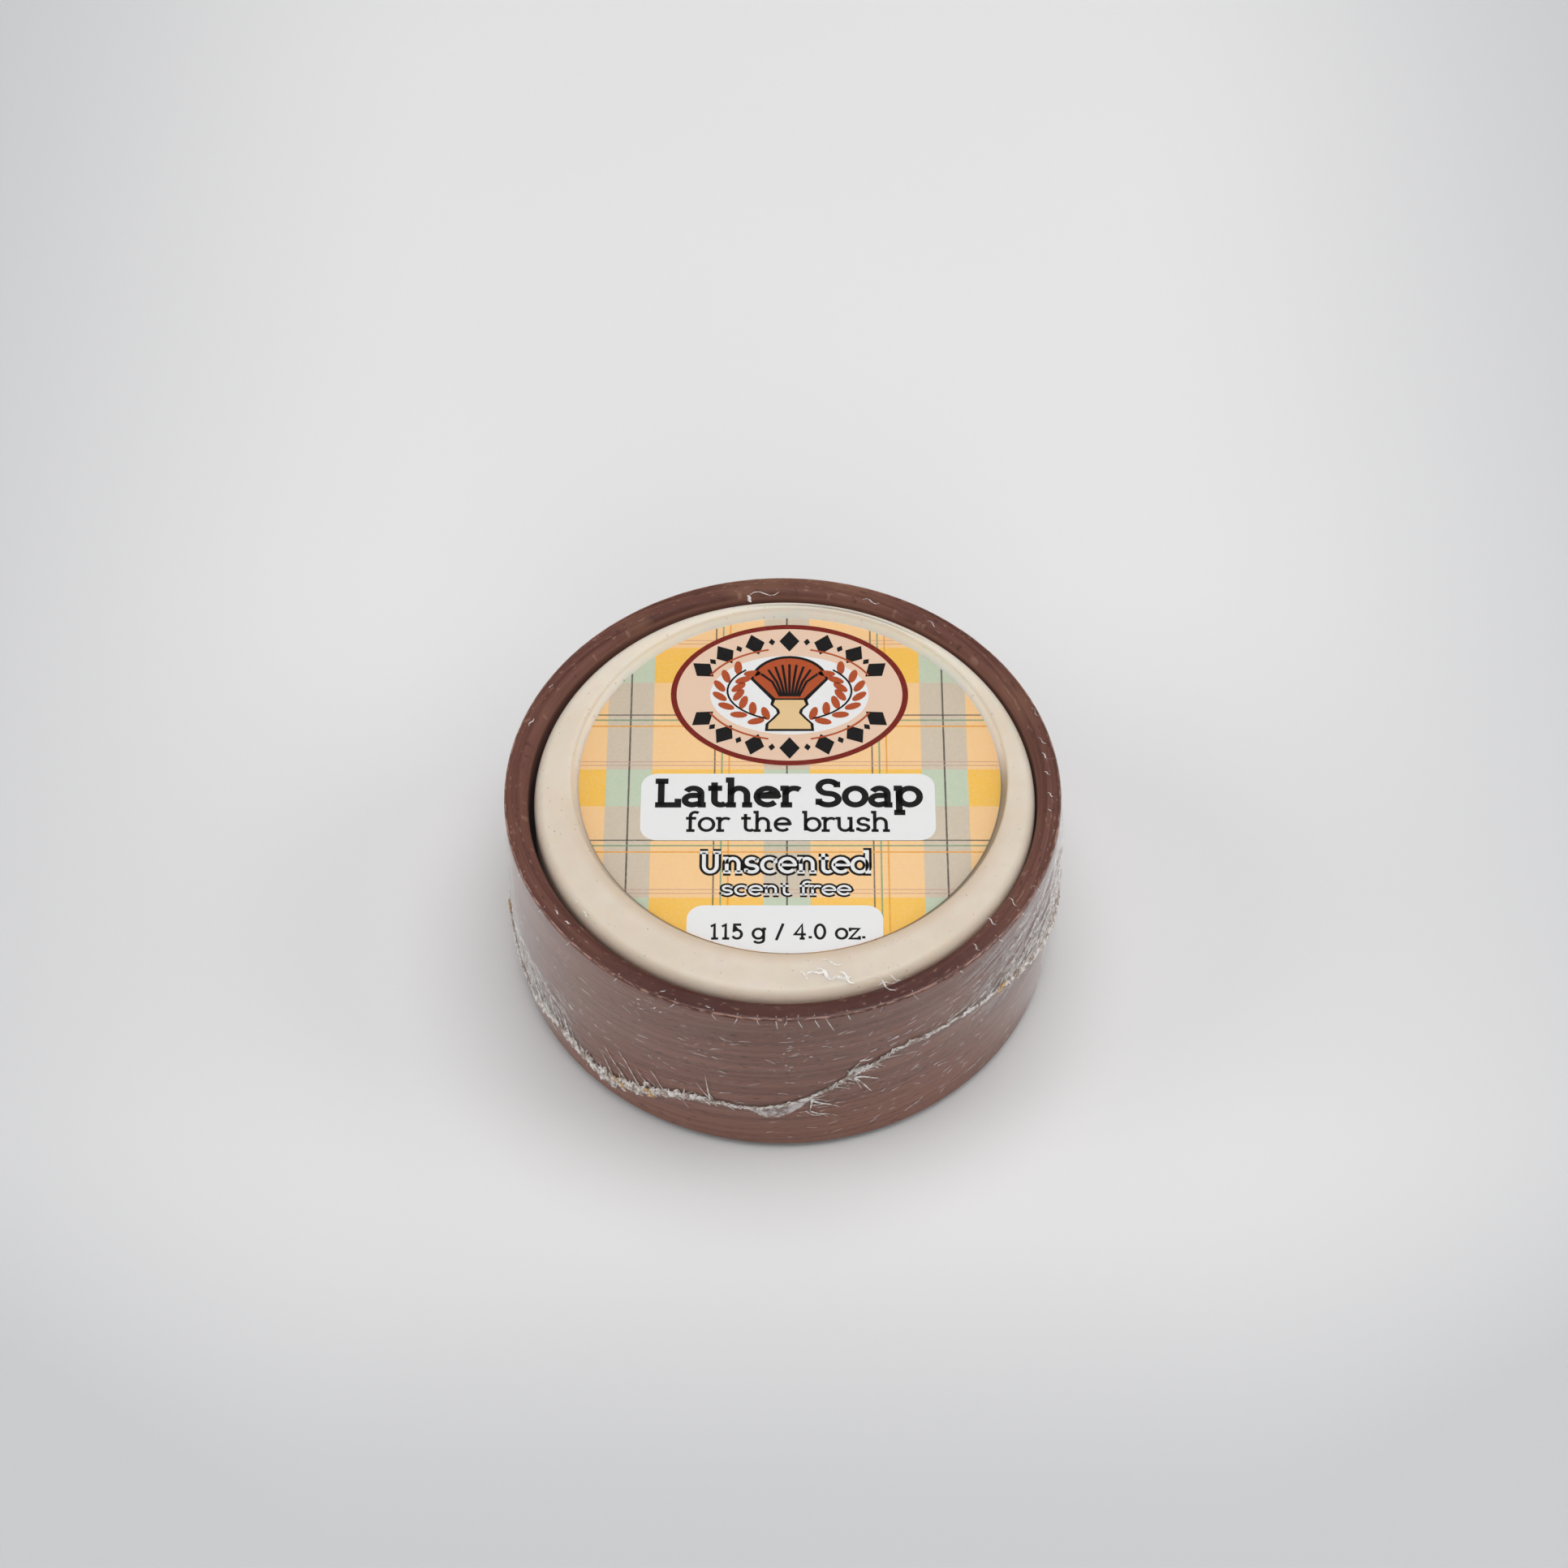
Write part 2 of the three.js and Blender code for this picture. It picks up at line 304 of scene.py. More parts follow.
def soap_cream():
    """Pressed soap: waxy, faintly mottled, with painted shade in tan along its front edge and beside the
    dish, a painted shadow in a crescent by the dish, and painted light on its back.
    """
    m = Shader("soap_cream", Subsurface_Weight=0.7, Subsurface_Scale=0.004, Specular_IOR_Level=0.35)
    m.surface.inputs["Subsurface Radius"].default_value = (1.0, 0.62, 0.38)
    place, x, y, z = m.place()
    across = m.minus(x, PUCK_CENTRE.x)
    radius = m.math("SQRT", m.plus(m.times(across, across), m.times(y, y)))
    mottle = m.noise(place, 260.0, 4.0, 0.6)
    cloud = m.noise(place, 60.0, 2.0, 0.5)
    specks = m.noise(place, 2300.0, 0.0, 0.5)
    colour = m.blend(m.step(mottle, 0.3, 0.7), (0.715, 0.625, 0.520), (0.750, 0.665, 0.565))
    colour = m.blend(m.step(cloud, 0.35, 0.7, 0.0, 0.5), colour, (0.700, 0.600, 0.485))
    # painted shade: the outer edge turns tan towards the front, standing in for the shoulder's shade and the
    # brown light off the wood
    front = m.step(y, 0.2 * PUCK_RADIUS, -0.9 * PUCK_RADIUS, 0.05, 0.16)
    edge = m.step(m.plus(radius, m.times(cloud, 0.0008)), PUCK_RADIUS - 1.3 * MM, PUCK_RADIUS + 0.1 * MM)
    colour = m.blend(m.times(edge, front), colour, (0.400, 0.235, 0.125))
    # painted light: the back of the dish's wall is lightened where it falls in shade
    wall = m.times(m.step(z, puck_high.z - 0.2 * MM, puck_high.z - 0.9 * MM),
                   m.step(radius, PUCK_RADIUS - 1.6 * MM, PUCK_RADIUS - 2.2 * MM))
    wall = m.times(wall, m.step(y, -0.3 * PUCK_RADIUS, 0.5 * PUCK_RADIUS))
    # painted light: the soap is lighter towards the back
    colour = m.blend(m.step(y, 0.2 * PUCK_RADIUS, PUCK_RADIUS, 0.0, 0.8), colour, (0.850, 0.755, 0.655))
    colour = m.blend(wall, colour, (0.960, 0.860, 0.760))
    from_dish_x = m.minus(x, DISH_CENTRE.x)
    from_dish_y = m.minus(y, DISH_CENTRE.y)
    from_dish = m.polar(from_dish_x, from_dish_y)[0]
    # painted shade: a tan band beside the dish's edge on the front
    painted_shade_by_dish = m.step(from_dish, DISH_RADIUS + 3.2 * MM, DISH_RADIUS + 0.4 * MM, 0.0, 0.6)
    painted_shade_by_dish = m.times(painted_shade_by_dish, m.step(y, 0.15 * PUCK_RADIUS, -0.7 * PUCK_RADIUS))
    colour = m.blend(painted_shade_by_dish, colour, (0.480, 0.330, 0.210))
    # painted shadow: a dark crescent of the dish's wall on the right
    painted_shadow_crescent = m.times(m.step(from_dish, DISH_RADIUS + 0.9 * MM, DISH_RADIUS + 0.6 * MM),
                       m.step(x, 0.35 * PUCK_RADIUS, 0.7 * PUCK_RADIUS))
    painted_shadow_crescent = m.times(painted_shadow_crescent, m.step(y, 0.25 * PUCK_RADIUS, 0.0, 0.0, 0.85))
    colour = m.blend(painted_shadow_crescent, colour, (0.330, 0.250, 0.170))
    colour = m.blend(m.step(specks, 0.80, 0.82, 0.0, 0.6), colour, (0.33, 0.22, 0.15))
    m.set(Base_Color=colour, Roughness=m.step(mottle, 0.3, 0.7, 0.42, 0.56), Normal=m.bump(mottle, 0.00005))
    return m.material


def band(m, coordinate, centre, width, period=24.0):
    """1 inside stripes of a repeating pattern. Millimetres."""
    offset = m.math("WRAP", m.minus(coordinate, centre), period / 2, -period / 2)
    return m.math("LESS_THAN", m.math("ABSOLUTE", offset), width / 2)


def plaid_paper():
    """Printed plaid: broad yellow and grey-green bands, and thin black, green and orange lines."""
    m = Shader("plaid_paper", Specular_IOR_Level=0.3)
    place, x, y = m.place()[:3]
    u = m.times(m.minus(x, LABEL_CENTRE.x), 1000.0)
    v = m.times(m.minus(y, LABEL_CENTRE.y), 1000.0)
    upright = band(m, u, -0.4, 7.0)
    level = band(m, v, -1.5, 7.0)
    peach, yellow = (0.900, 0.575, 0.270), (0.910, 0.525, 0.075)
    grey, green = (0.600, 0.515, 0.400), (0.515, 0.600, 0.455)
    colour = m.blend(level, peach, yellow)
    colour = m.blend(upright, colour, m.blend(level, grey, green))
    for centre, width, ink, strength in (
            (-0.4, 0.28, (0.05, 0.04, 0.035), 0.9), (-11.4, 0.24, (0.05, 0.04, 0.035), 0.85),
            (-10.3, 0.26, (0.12, 0.30, 0.16), 0.8), (-9.2, 0.26, (0.80, 0.34, 0.02), 0.9)):
        line = m.times(band(m, u, centre, width), strength)
        colour = m.blend(line, colour, ink)
    for centre, width, ink, strength in (
            (12.6, 0.24, (0.05, 0.04, 0.035), 0.85), (11.6, 0.28, (0.12, 0.30, 0.16), 0.8),
            (10.4, 0.28, (0.80, 0.34, 0.02), 0.9), (3.5, 0.18, (0.55, 0.28, 0.24), 0.7),
            (2.8, 0.18, (0.55, 0.28, 0.24), 0.7)):
        line = m.times(band(m, v, centre, width), strength)
        colour = m.blend(line, colour, ink)
    fibre = m.noise(place, 2600.0, 3.0, 0.6)
    colour = m.blend(m.step(fibre, 0.35, 0.75, 0.0, 0.14), colour, (0.93, 0.80, 0.66))
    m.set(Base_Color=colour, Roughness=m.step(fibre, 0.3, 0.7, 0.5, 0.62), Normal=m.bump(fibre, 0.00001))
    return m.material


def ink(name, colour, grain=0.08):
    """Flat printed colour with the faint unevenness of ink on paper."""
    m = Shader(name, Specular_IOR_Level=0.1)
    place = m.place()[0]
    fibre = m.noise(place, 2600.0, 3.0, 0.6)
    pale = tuple(c + (1 - c) * 0.12 for c in colour)
    m.set(Base_Color=m.blend(m.step(fibre, 0.4, 0.8, 0.0, grain * 2), colour, pale),
          Roughness=m.step(fibre, 0.3, 0.7, 0.62, 0.75), Normal=m.bump(fibre, 0.00001))
    return m.material


# Where the film is gathered into folds: angle of the middle, half width in degrees, how steeply the folds
# rise to the right, how deep they are, and the middle and half height of the gathered band in mm
FOLD_ZONES = (
    (-20, 36, 0.36, 0.9, 25, 11), (-158, 26, -0.30, 0.8, 11, 7), (62, 44, 0.12, 0.6, 21, 8),
    (132, 40, -0.12, 0.6, 19, 8))
FOLD_LENGTH = 70.0  # folds per metre along themselves
FOLD_WIDTH = 1000.0  # folds per metre across


def clear_film():
    """Thin clear film: see-through, glossier at grazing angles, with folds and white creases on the side."""
    m = Shader("clear_film", Base_Color=(0.95, 0.945, 0.94, 1.0), Metallic=0.9, Roughness=0.16)
    place, x, y, z = m.place()
    radius, around_x, around_y = m.polar(x, y)
    side = m.step(radius, BOWL_RADIUS - 0.3 * MM, BOWL_RADIUS)
    folds, whites = 0.0, 0.0
    for centre, half, slope, depth, middle, tall in FOLD_ZONES:
        turn = math.radians(centre)
        towards = m.plus(m.times(around_x, math.cos(turn)), m.times(around_y, math.sin(turn)))
        along = m.plus(m.times(x, -math.sin(turn)), m.times(y, math.cos(turn)))
        across = m.minus(z, m.times(along, slope))
        spot = m.vector(m.times(along, FOLD_LENGTH), m.times(across, FOLD_WIDTH), centre)
        edge, full = math.cos(math.radians(half)), math.cos(math.radians(half * 0.45))
        beside = m.step(towards, edge, full, 0.0, depth)
        off_middle = m.math("ABSOLUTE", m.minus(z, middle * MM))
        inside = m.times(beside, m.step(off_middle, tall * MM, tall * 0.5 * MM))
        fold = m.noise(spot, 1.0, 3.0, 0.62, 0.45)
        crest = m.step(m.math("ABSOLUTE", m.minus(fold, 0.5)), 0.0, 0.04, 1.0, 0.0)
        folds = m.math("MULTIPLY_ADD", m.plus(fold, m.times(crest, 0.35)), inside, folds)
        shine = m.math("MULTIPLY_ADD", crest, 0.50, m.step(fold, 0.50, 0.66, 0.01, 0.24))
        whites = m.math("MULTIPLY_ADD", shine, inside, whites)
    rise = m.minus(z, m.times(x, 0.35))
    scuff = m.noise(m.vector(m.times(around_x, 34.0), m.times(around_y, 34.0),
                             m.times(rise, 2000.0)), 1.0, 3.0, 0.65, 0.5)
    scratches = m.step(scuff, 0.62, 0.70, 0.0, 0.42)
    scratches = m.times(scratches, m.step(m.noise(place, 130.0, 2.0, 0.5), 0.42, 0.62))
    cloud = m.noise(place, 110.0, 3.0, 0.6)
    low_haze = m.times(m.step(cloud, 0.3, 0.65, 0.4, 1.6), m.step(z, 14 * MM, 4 * MM, 0.0, 0.022))
    haze = m.plus(m.step(cloud, 0.35, 0.7, 0.000, 0.010), low_haze)
    glancing = m.add("ShaderNodeLayerWeight", {"Blend": 0.5}).outputs["Facing"]
    strength = m.math("MULTIPLY_ADD", side, 0.5, 0.25)
    gloss = m.math("MULTIPLY_ADD", m.math("POWER", glancing, 5.0), strength, 0.011)
    marks = m.plus(m.plus(whites, scratches), haze)
    shows = m.math("MINIMUM", m.math("MULTIPLY_ADD", side, marks, gloss), 1.0)
    ripple = m.noise(place, 180.0, 2.0, 0.5)
    m.set(Normal=m.bump(m.times(folds, side), 0.0009, m.bump(ripple, 0.00006)))
    clear = m.add("ShaderNodeBsdfTransparent")
    mixed = m.add("ShaderNodeMixShader", {0: shows, 1: clear.outputs[0], 2: m.surface.outputs[0]})
    m.tree.links.new(mixed.outputs[0], m.output.inputs["Surface"])
    return m.material


def welded_film(name, thinnest, thickest, pale=(0.60, 0.51, 0.48), roughness=0.35, relief=0.00010):
    """Film melted or creased until it is whitish and only half clear."""
    m = Shader(name, Specular_IOR_Level=0.4, Roughness=roughness)
    place = m.place()[0]
    cloud = m.noise(place, 900.0, 4.0, 0.65)
    colour = m.blend(m.step(cloud, 0.35, 0.6), pale, (0.93, 0.89, 0.86))
    m.set(Base_Color=colour, Alpha=m.step(cloud, 0.36, 0.58, thinnest, thickest),
          Normal=m.bump(cloud, relief))
    return m.material


def scorched_film():
    """Film browned by the hot wire, in small flecks."""
    m = Shader("scorched_film", Specular_IOR_Level=0.7, Roughness=0.3)
    place = m.place()[0]
    cloud = m.noise(place, 1500.0, 3.0, 0.6)
    colour = m.blend(m.step(cloud, 0.35, 0.65), (0.52, 0.27, 0.07), (0.85, 0.55, 0.22))
    m.set(Base_Color=colour, Normal=m.bump(cloud, 0.00012))
    return m.material


def pale_floor():
    """Pale floor with painted shade: a little greyer away from the middle of the picture, where the light
    falls off.
    """
    m = Shader("pale_floor", Roughness=0.8, Specular_IOR_Level=0.2)
    place, x, y = m.place()[:3]
    cloud = m.noise(place, 6.0, 2.0, 0.5)
    colour = m.blend(m.step(cloud, 0.3, 0.7), (0.790, 0.790, 0.795), (0.805, 0.803, 0.805))
    # painted shade: the floor greys to the sides and towards the front
    outside = m.plus(m.step(m.math("ABSOLUTE", x), 0.06, 0.18), m.step(y, -0.035, -0.11))
    m.set(Base_Color=m.blend(m.math("MINIMUM", outside, 1.0), colour, (0.610, 0.615, 0.630)))
    return m.material


# ---------------------------------------------------------------- bowl and soap

ORIGIN = Vector((0, 0, 0))


def turned_piece(name, outline, material, centre=ORIGIN):
    """A lathe-turned solid from (r, z) points that start and end on the axis."""
    rings = [circle(centre, r, z) for r, z in outline]
    return make_object(name, *loft(rings), material)


def straight(start, end, steps):
    """Points between two (r, z) points, without the first."""
    return [tuple(np.add(start, np.subtract(end, start) * i / steps)) for i in range(1, steps + 1)]


def make_bowl(material):
    recess = BASE_RADIUS - FOOT_RING
    recess_top = BOWL_BASE + RECESS_DEPTH
    inner_floor = BOWL_BASE + FLOOR_THICKNESS
    arris = RIM_ARRIS
    round_width, round_depth = RIM_ROUND
    outline = [
        (0, recess_top), (recess * 0.5, recess_top),
        *arc(recess - RECESS_FILLET, recess_top - RECESS_FILLET, RECESS_FILLET, 90, 0),
        *arc(recess + 0.8 * MM, BOWL_BASE + RECESS_EDGE, RECESS_EDGE, 180, 270),
        *arc(BASE_RADIUS - BASE_EDGE, BOWL_BASE + BASE_EDGE, BASE_EDGE, -90, 0)]
    outline += straight(outline[-1], (BOWL_RADIUS, RIM_TOP - arris), 24)
    outline += arc(BOWL_RADIUS - arris, RIM_TOP - arris, arris, 0, 90)[1:]
    outline += straight(outline[-1], (BORE + round_width, RIM_TOP), 12)[:-1]
    outline += arc(BORE + round_width, RIM_TOP - round_depth, RIM_ROUND, 90, 180, 12)
    outline += straight(outline[-1], (BORE, inner_floor + FLOOR_FILLET), 8)
    outline += arc(BORE - FLOOR_FILLET, inner_floor + FLOOR_FILLET, FLOOR_FILLET, 0, -90)[1:]
    outline += [(BORE * 0.5, inner_floor), (0, inner_floor)]
    bowl = turned_piece("wooden_bowl", outline, material)
    finish_piece(bowl, "bowl", "stained_wood", "bowl")


def make_puck(material):
    """Circles from under the puck, up its side and over the lip, then down into the off-centre dish."""
    centre = Vector((PUCK_CENTRE.x, PUCK_CENTRE.y - PUCK_FORWARD, 0))
    bottom, top = puck_low.z, puck_high.z
    lip_edge = DISH_RADIUS + DISH_DRAFT
    corner = LIP_CORNER
    shoulder_width, shoulder_drop = SHOULDER
    rings = [(0, bottom, 0), (PUCK_RADIUS * 0.6, bottom, 0)]
    lower_edge = arc(PUCK_RADIUS - FLOOR_FILLET, bottom + FLOOR_FILLET, FLOOR_FILLET, -90, 0)
    rings += [(r, z, 0) for r, z in lower_edge]
    rings += [(PUCK_RADIUS, bottom + (top - bottom) * t, 0) for t in (0.3, 0.5, 0.7, 0.85)]
    rings += [(r, z, SHOULDER_SHIFT * (z - top + shoulder_drop) / shoulder_drop)
              for r, z in arc(PUCK_RADIUS - shoulder_width, top - shoulder_drop, SHOULDER, 0, 90, 14)]
    shoulder_edge, rounded_lip = PUCK_RADIUS - shoulder_width, lip_edge + corner
    for t in (0.06, 0.25, 0.5, 0.75, 0.94):
        share = SHOULDER_SHIFT + (1 - SHOULDER_SHIFT) * t
        rings.append((shoulder_edge + (rounded_lip - shoulder_edge) * t, top, share))
    rings += [(r, z, 1) for r, z in arc(rounded_lip, top - corner, corner, 90, 165, 8)]
    fillet = DISH_FILLET
    rings += [(r, z, 1) for r, z in arc(DISH_RADIUS - fillet, DISH_FLOOR + fillet, fillet, -15, -90, 4)]
    rings += [(DISH_RADIUS * 0.6, DISH_FLOOR, 1), (0, DISH_FLOOR, 1)]
    loops = [circle(centre.lerp(DISH_CENTRE, share), r, z) for r, z, share in rings]
    puck = make_object("soap_puck_smooth", *loft(loops), material)
    finish_piece(puck, "soap", "soap", "soap_puck")


# ---------------------------------------------------------------- label and print

def prism(outline, low, high):
    """Vertices and faces of a flat shape between two heights. The outline is a list of (x, y)."""
    count = len(outline)
    verts = [(x, y, low) for x, y in outline] + [(x, y, high) for x, y in outline]
    faces = [tuple(reversed(range(count))), tuple(range(count, 2 * count))]
    faces += [(i, (i + 1) % count, count + (i + 1) % count, count + i) for i in range(count)]
    return verts, faces


def gather(parts):
    """Joins several (vertices, faces) into one."""
    verts, faces = [], []
    for part_verts, part_faces in parts:
        start = len(verts)
        verts.extend(part_verts)
        faces.extend(tuple(start + i for i in face) for face in part_faces)
    return verts, faces


def ellipse(x, y, width, height, start=0, end=360, steps=96):
    turns = np.radians(np.linspace(start, end, steps, endpoint=(end - start) % 360 != 0))
    return [(x + width / 2 * math.cos(t), y + height / 2 * math.sin(t)) for t in turns]


def rounded_box(left, right, low, high, radius):
    corners = ((right, high, 0), (left, high, 90), (left, low, 180), (right, low, 270))
    outline = []
    for x, y, start in corners:
        cx = x - math.copysign(radius, x - (left + right) / 2)
        cy = y - math.copysign(radius, y - (low + high) / 2)
        outline += ellipse(cx, cy, 2 * radius, 2 * radius, start, start + 90, 8)
    return outline


def on_label(outline):
    """Outline in millimetres from the label's centre, kept inside the label's edge, in metres."""
    limit = LABEL_RADIUS / MM - 0.04
    points = []
    for x, y in outline:
        shrink = min(1.0, limit / max(math.hypot(x, y), 1e-9))
        points.append((LABEL_CENTRE.x + x * shrink * MM, LABEL_CENTRE.y + y * shrink * MM))
    return points


def curve_arc(cx, cy, rx, ry, start, end, steps=14):
    return arc(cx, cy, (rx, ry), start, end, steps)


def letter_shapes():
    """Slab-serif letters as strokes. The capital height is 1. Each letter is (advance, strokes)."""
    a = curve_arc
    ring = a(0.36, 0.35, 0.29, 0.35, 0, 360, 24)
    arch = a(0.38, 0.42, 0.23, 0.28, 180, 0)
    return {
        "L": (0.80, [[(0.2, 1), (0.2, 0)], [(0.03, 1), (0.4, 1)], [(0.03, 0), (0.68, 0), (0.68, 0.26)]]),
        "S": (0.78, [a(0.37, 0.74, 0.27, 0.26, 25, 270) + a(0.37, 0.24, 0.29, 0.24, 90, -155),
                     [(0.62, 0.98), (0.62, 0.74)], [(0.1, 0.0), (0.1, 0.26)]]),
        "U": (0.92, [[(0.18, 1), (0.18, 0.32)] + a(0.43, 0.32, 0.25, 0.32, 180, 360) + [(0.68, 1)],
                     [(0.02, 1), (0.34, 1)], [(0.54, 1), (0.84, 1)]]),
        "a": (0.72, [a(0.32, 0.47, 0.22, 0.23, 155, 0) + [(0.54, 0.0), (0.68, 0.0)],
                     [(0.54, 0.4), (0.3, 0.4)] + a(0.3, 0.2, 0.22, 0.2, 90, 270) + [(0.54, 0.07)]]),
        "b": (0.78, [[(0.0, 1.05), (0.14, 1.05), (0.14, 0)], a(0.43, 0.35, 0.29, 0.35, 0, 360, 24)]),
        "c": (0.70, [a(0.38, 0.35, 0.3, 0.35, 48, 312), [(0.6, 0.68), (0.6, 0.46)]]),
        "d": (0.84, [ring, [(0.5, 1.05), (0.65, 1.05), (0.65, 0), (0.8, 0)]]),
        "e": (0.74, [[(0.08, 0.37), (0.66, 0.37)] + a(0.37, 0.35, 0.3, 0.35, 5, 318)]),
        "f": (0.50, [[(0.2, 0), (0.2, 0.82)] + a(0.4, 0.82, 0.2, 0.23, 180, 50), [(0.02, 0.7), (0.44, 0.7)],
                     [(0.04, 0), (0.38, 0)]]),
        "g": (0.80, [ring, [(0.78, 0.7), (0.65, 0.7), (0.65, -0.08)] + a(0.38, -0.08, 0.27, 0.22, 0, -155)]),
        "h": (0.82, [[(0.0, 1.05), (0.15, 1.05), (0.15, 0)], arch + [(0.61, 0)], [(0.01, 0), (0.3, 0)],
                     [(0.47, 0), (0.76, 0)]]),
        "n": (0.82, [[(0.0, 0.7), (0.15, 0.7), (0.15, 0)], arch + [(0.61, 0)], [(0.01, 0), (0.3, 0)],
                     [(0.47, 0), (0.76, 0)]]),
        "o": (0.74, [ring]),
        "p": (0.80, [[(0.0, 0.7), (0.15, 0.7), (0.15, -0.32)], a(0.45, 0.35, 0.29, 0.35, 0, 360, 24),
                     [(0.0, -0.32), (0.32, -0.32)]]),
        "r": (0.58, [[(0.0, 0.7), (0.15, 0.7), (0.15, 0)], a(0.4, 0.42, 0.25, 0.28, 180, 50),
                     [(0.01, 0), (0.34, 0)]]),
        "s": (0.62, [a(0.3, 0.52, 0.2, 0.18, 25, 270) + a(0.3, 0.17, 0.22, 0.17, 90, -155),
                     [(0.5, 0.69), (0.5, 0.52)], [(0.08, 0.0), (0.08, 0.18)]]),
        "t": (0.52, [[(0.2, 0.95), (0.2, 0.2)] + a(0.38, 0.2, 0.18, 0.2, 180, 320),
                     [(0.02, 0.7), (0.42, 0.7)]]),
        "u": (0.82, [[(0.0, 0.7), (0.14, 0.7), (0.14, 0.28)] + a(0.38, 0.28, 0.24, 0.28, 180, 360),
                     [(0.48, 0.7), (0.62, 0.7), (0.62, 0), (0.76, 0)]]),
        "z": (0.66, [[(0.08, 0.52), (0.08, 0.7), (0.56, 0.7), (0.06, 0), (0.58, 0), (0.58, 0.18)]]),
        "0": (0.72, [a(0.34, 0.5, 0.26, 0.5, 0, 360, 24)]),
        "1": (0.60, [[(0.1, 0.86), (0.3, 1.0), (0.3, 0)], [(0.12, 0), (0.5, 0)]]),
        "4": (0.74, [[(0.46, 0), (0.46, 1.0), (0.06, 0.3), (0.66, 0.3)], [(0.32, 0), (0.6, 0)]]),
        "5": (0.68, [[(0.54, 1.0), (0.17, 1.0), (0.14, 0.55)] + a(0.31, 0.31, 0.25, 0.31, 125, -155)]),
        "/": (0.62, [[(0.1, -0.12), (0.48, 1.08)]]),
        ".": (0.34, [[(0.06, 0.09), (0.24, 0.09)]]),
        " ": (0.42, []),
    }


LETTERS = letter_shapes()


def stroke_solid(points, width, low, high):
    """A flat stroke with round ends along (x, y) points, as one closed band between two heights."""
    path = [Vector((x, y)) for x, y in points]
    closed = (path[0] - path[-1]).length < 1e-7
    if closed:
        path = path[:-1]
    count = len(path)
    left, right = [], []
    for i, here in enumerate(path):
        before = path[i - 1] if closed or i > 0 else here
        after = path[(i + 1) % count] if closed or i < count - 1 else here
        first = (here - before).normalized() if here != before else (after - here).normalized()
        second = (after - here).normalized() if after != here else first
        normals = [Vector((-d.y, d.x)) for d in (first, second)]
        mitre = (normals[0] + normals[1]).normalized()
        reach = width / 2 / max(mitre.dot(normals[0]), 0.6)
        left.append(here + mitre * reach)
        right.append(here - mitre * reach)
    if closed:
        loops = [[(*p, low) for p in left], [(*p, high) for p in left], [(*p, high) for p in right],
                 [(*p, low) for p in right]]
        loops.append(loops[0])
        return loft(loops)
    outline = [tuple(p) for p in left] + [tuple(p) for p in reversed(right)]
    return prism(outline, low, high)


def text_strokes(text, left, right, baseline, height):
    """The strokes of a line of text that spans from left to right, in millimetres on the label."""
    natural = sum(LETTERS[c][0] for c in text)
    spread = (right - left) / natural
    strokes, x = [], left
    for c in text:
        advance, shapes = LETTERS[c]
        for shape in shapes:
            strokes.append([(x + px * spread, baseline + py * height) for px, py in shape])
        x += advance * spread
    return strokes


def ink_piece(name, solids, material):
    finish_piece(make_object(name, *gather(solids), material, smooth=False), "soap", "printed_paper")


def text_piece(name, text, span, baseline, height, width, level, material):
    low = LABEL_TOP + INK * level
    solids = []
    for stroke in text_strokes(text, *span, baseline, height):
        solids.append(stroke_solid(on_label(stroke), width * MM, low, low + INK * 0.8))
    ink_piece(name, solids, material)


LABEL_TOP = DISH_FLOOR + 0.03 * MM + PAPER_THICKNESS


def make_label(paper):
    edge = 0.03 * MM
    low = LABEL_TOP - PAPER_THICKNESS
    outline = [(0, low), (LABEL_RADIUS - edge, low), (LABEL_RADIUS, low + edge),
               (LABEL_RADIUS, LABEL_TOP - edge), (LABEL_RADIUS - edge, LABEL_TOP),
               (LABEL_RADIUS * 0.5, LABEL_TOP), (0, LABEL_TOP)]
    centre = Vector((LABEL_CENTRE.x, LABEL_CENTRE.y, 0))
    label = turned_piece("label_paper", outline, paper, centre)
    finish_piece(label, "soap", "printed_paper", "top_label")


def flat(outline, level):
    """One printed patch, in millimetres on the label, at a layer of ink above the paper."""
    low = LABEL_TOP + INK * level
    return prism(on_label(outline), low, low + INK * 0.8)


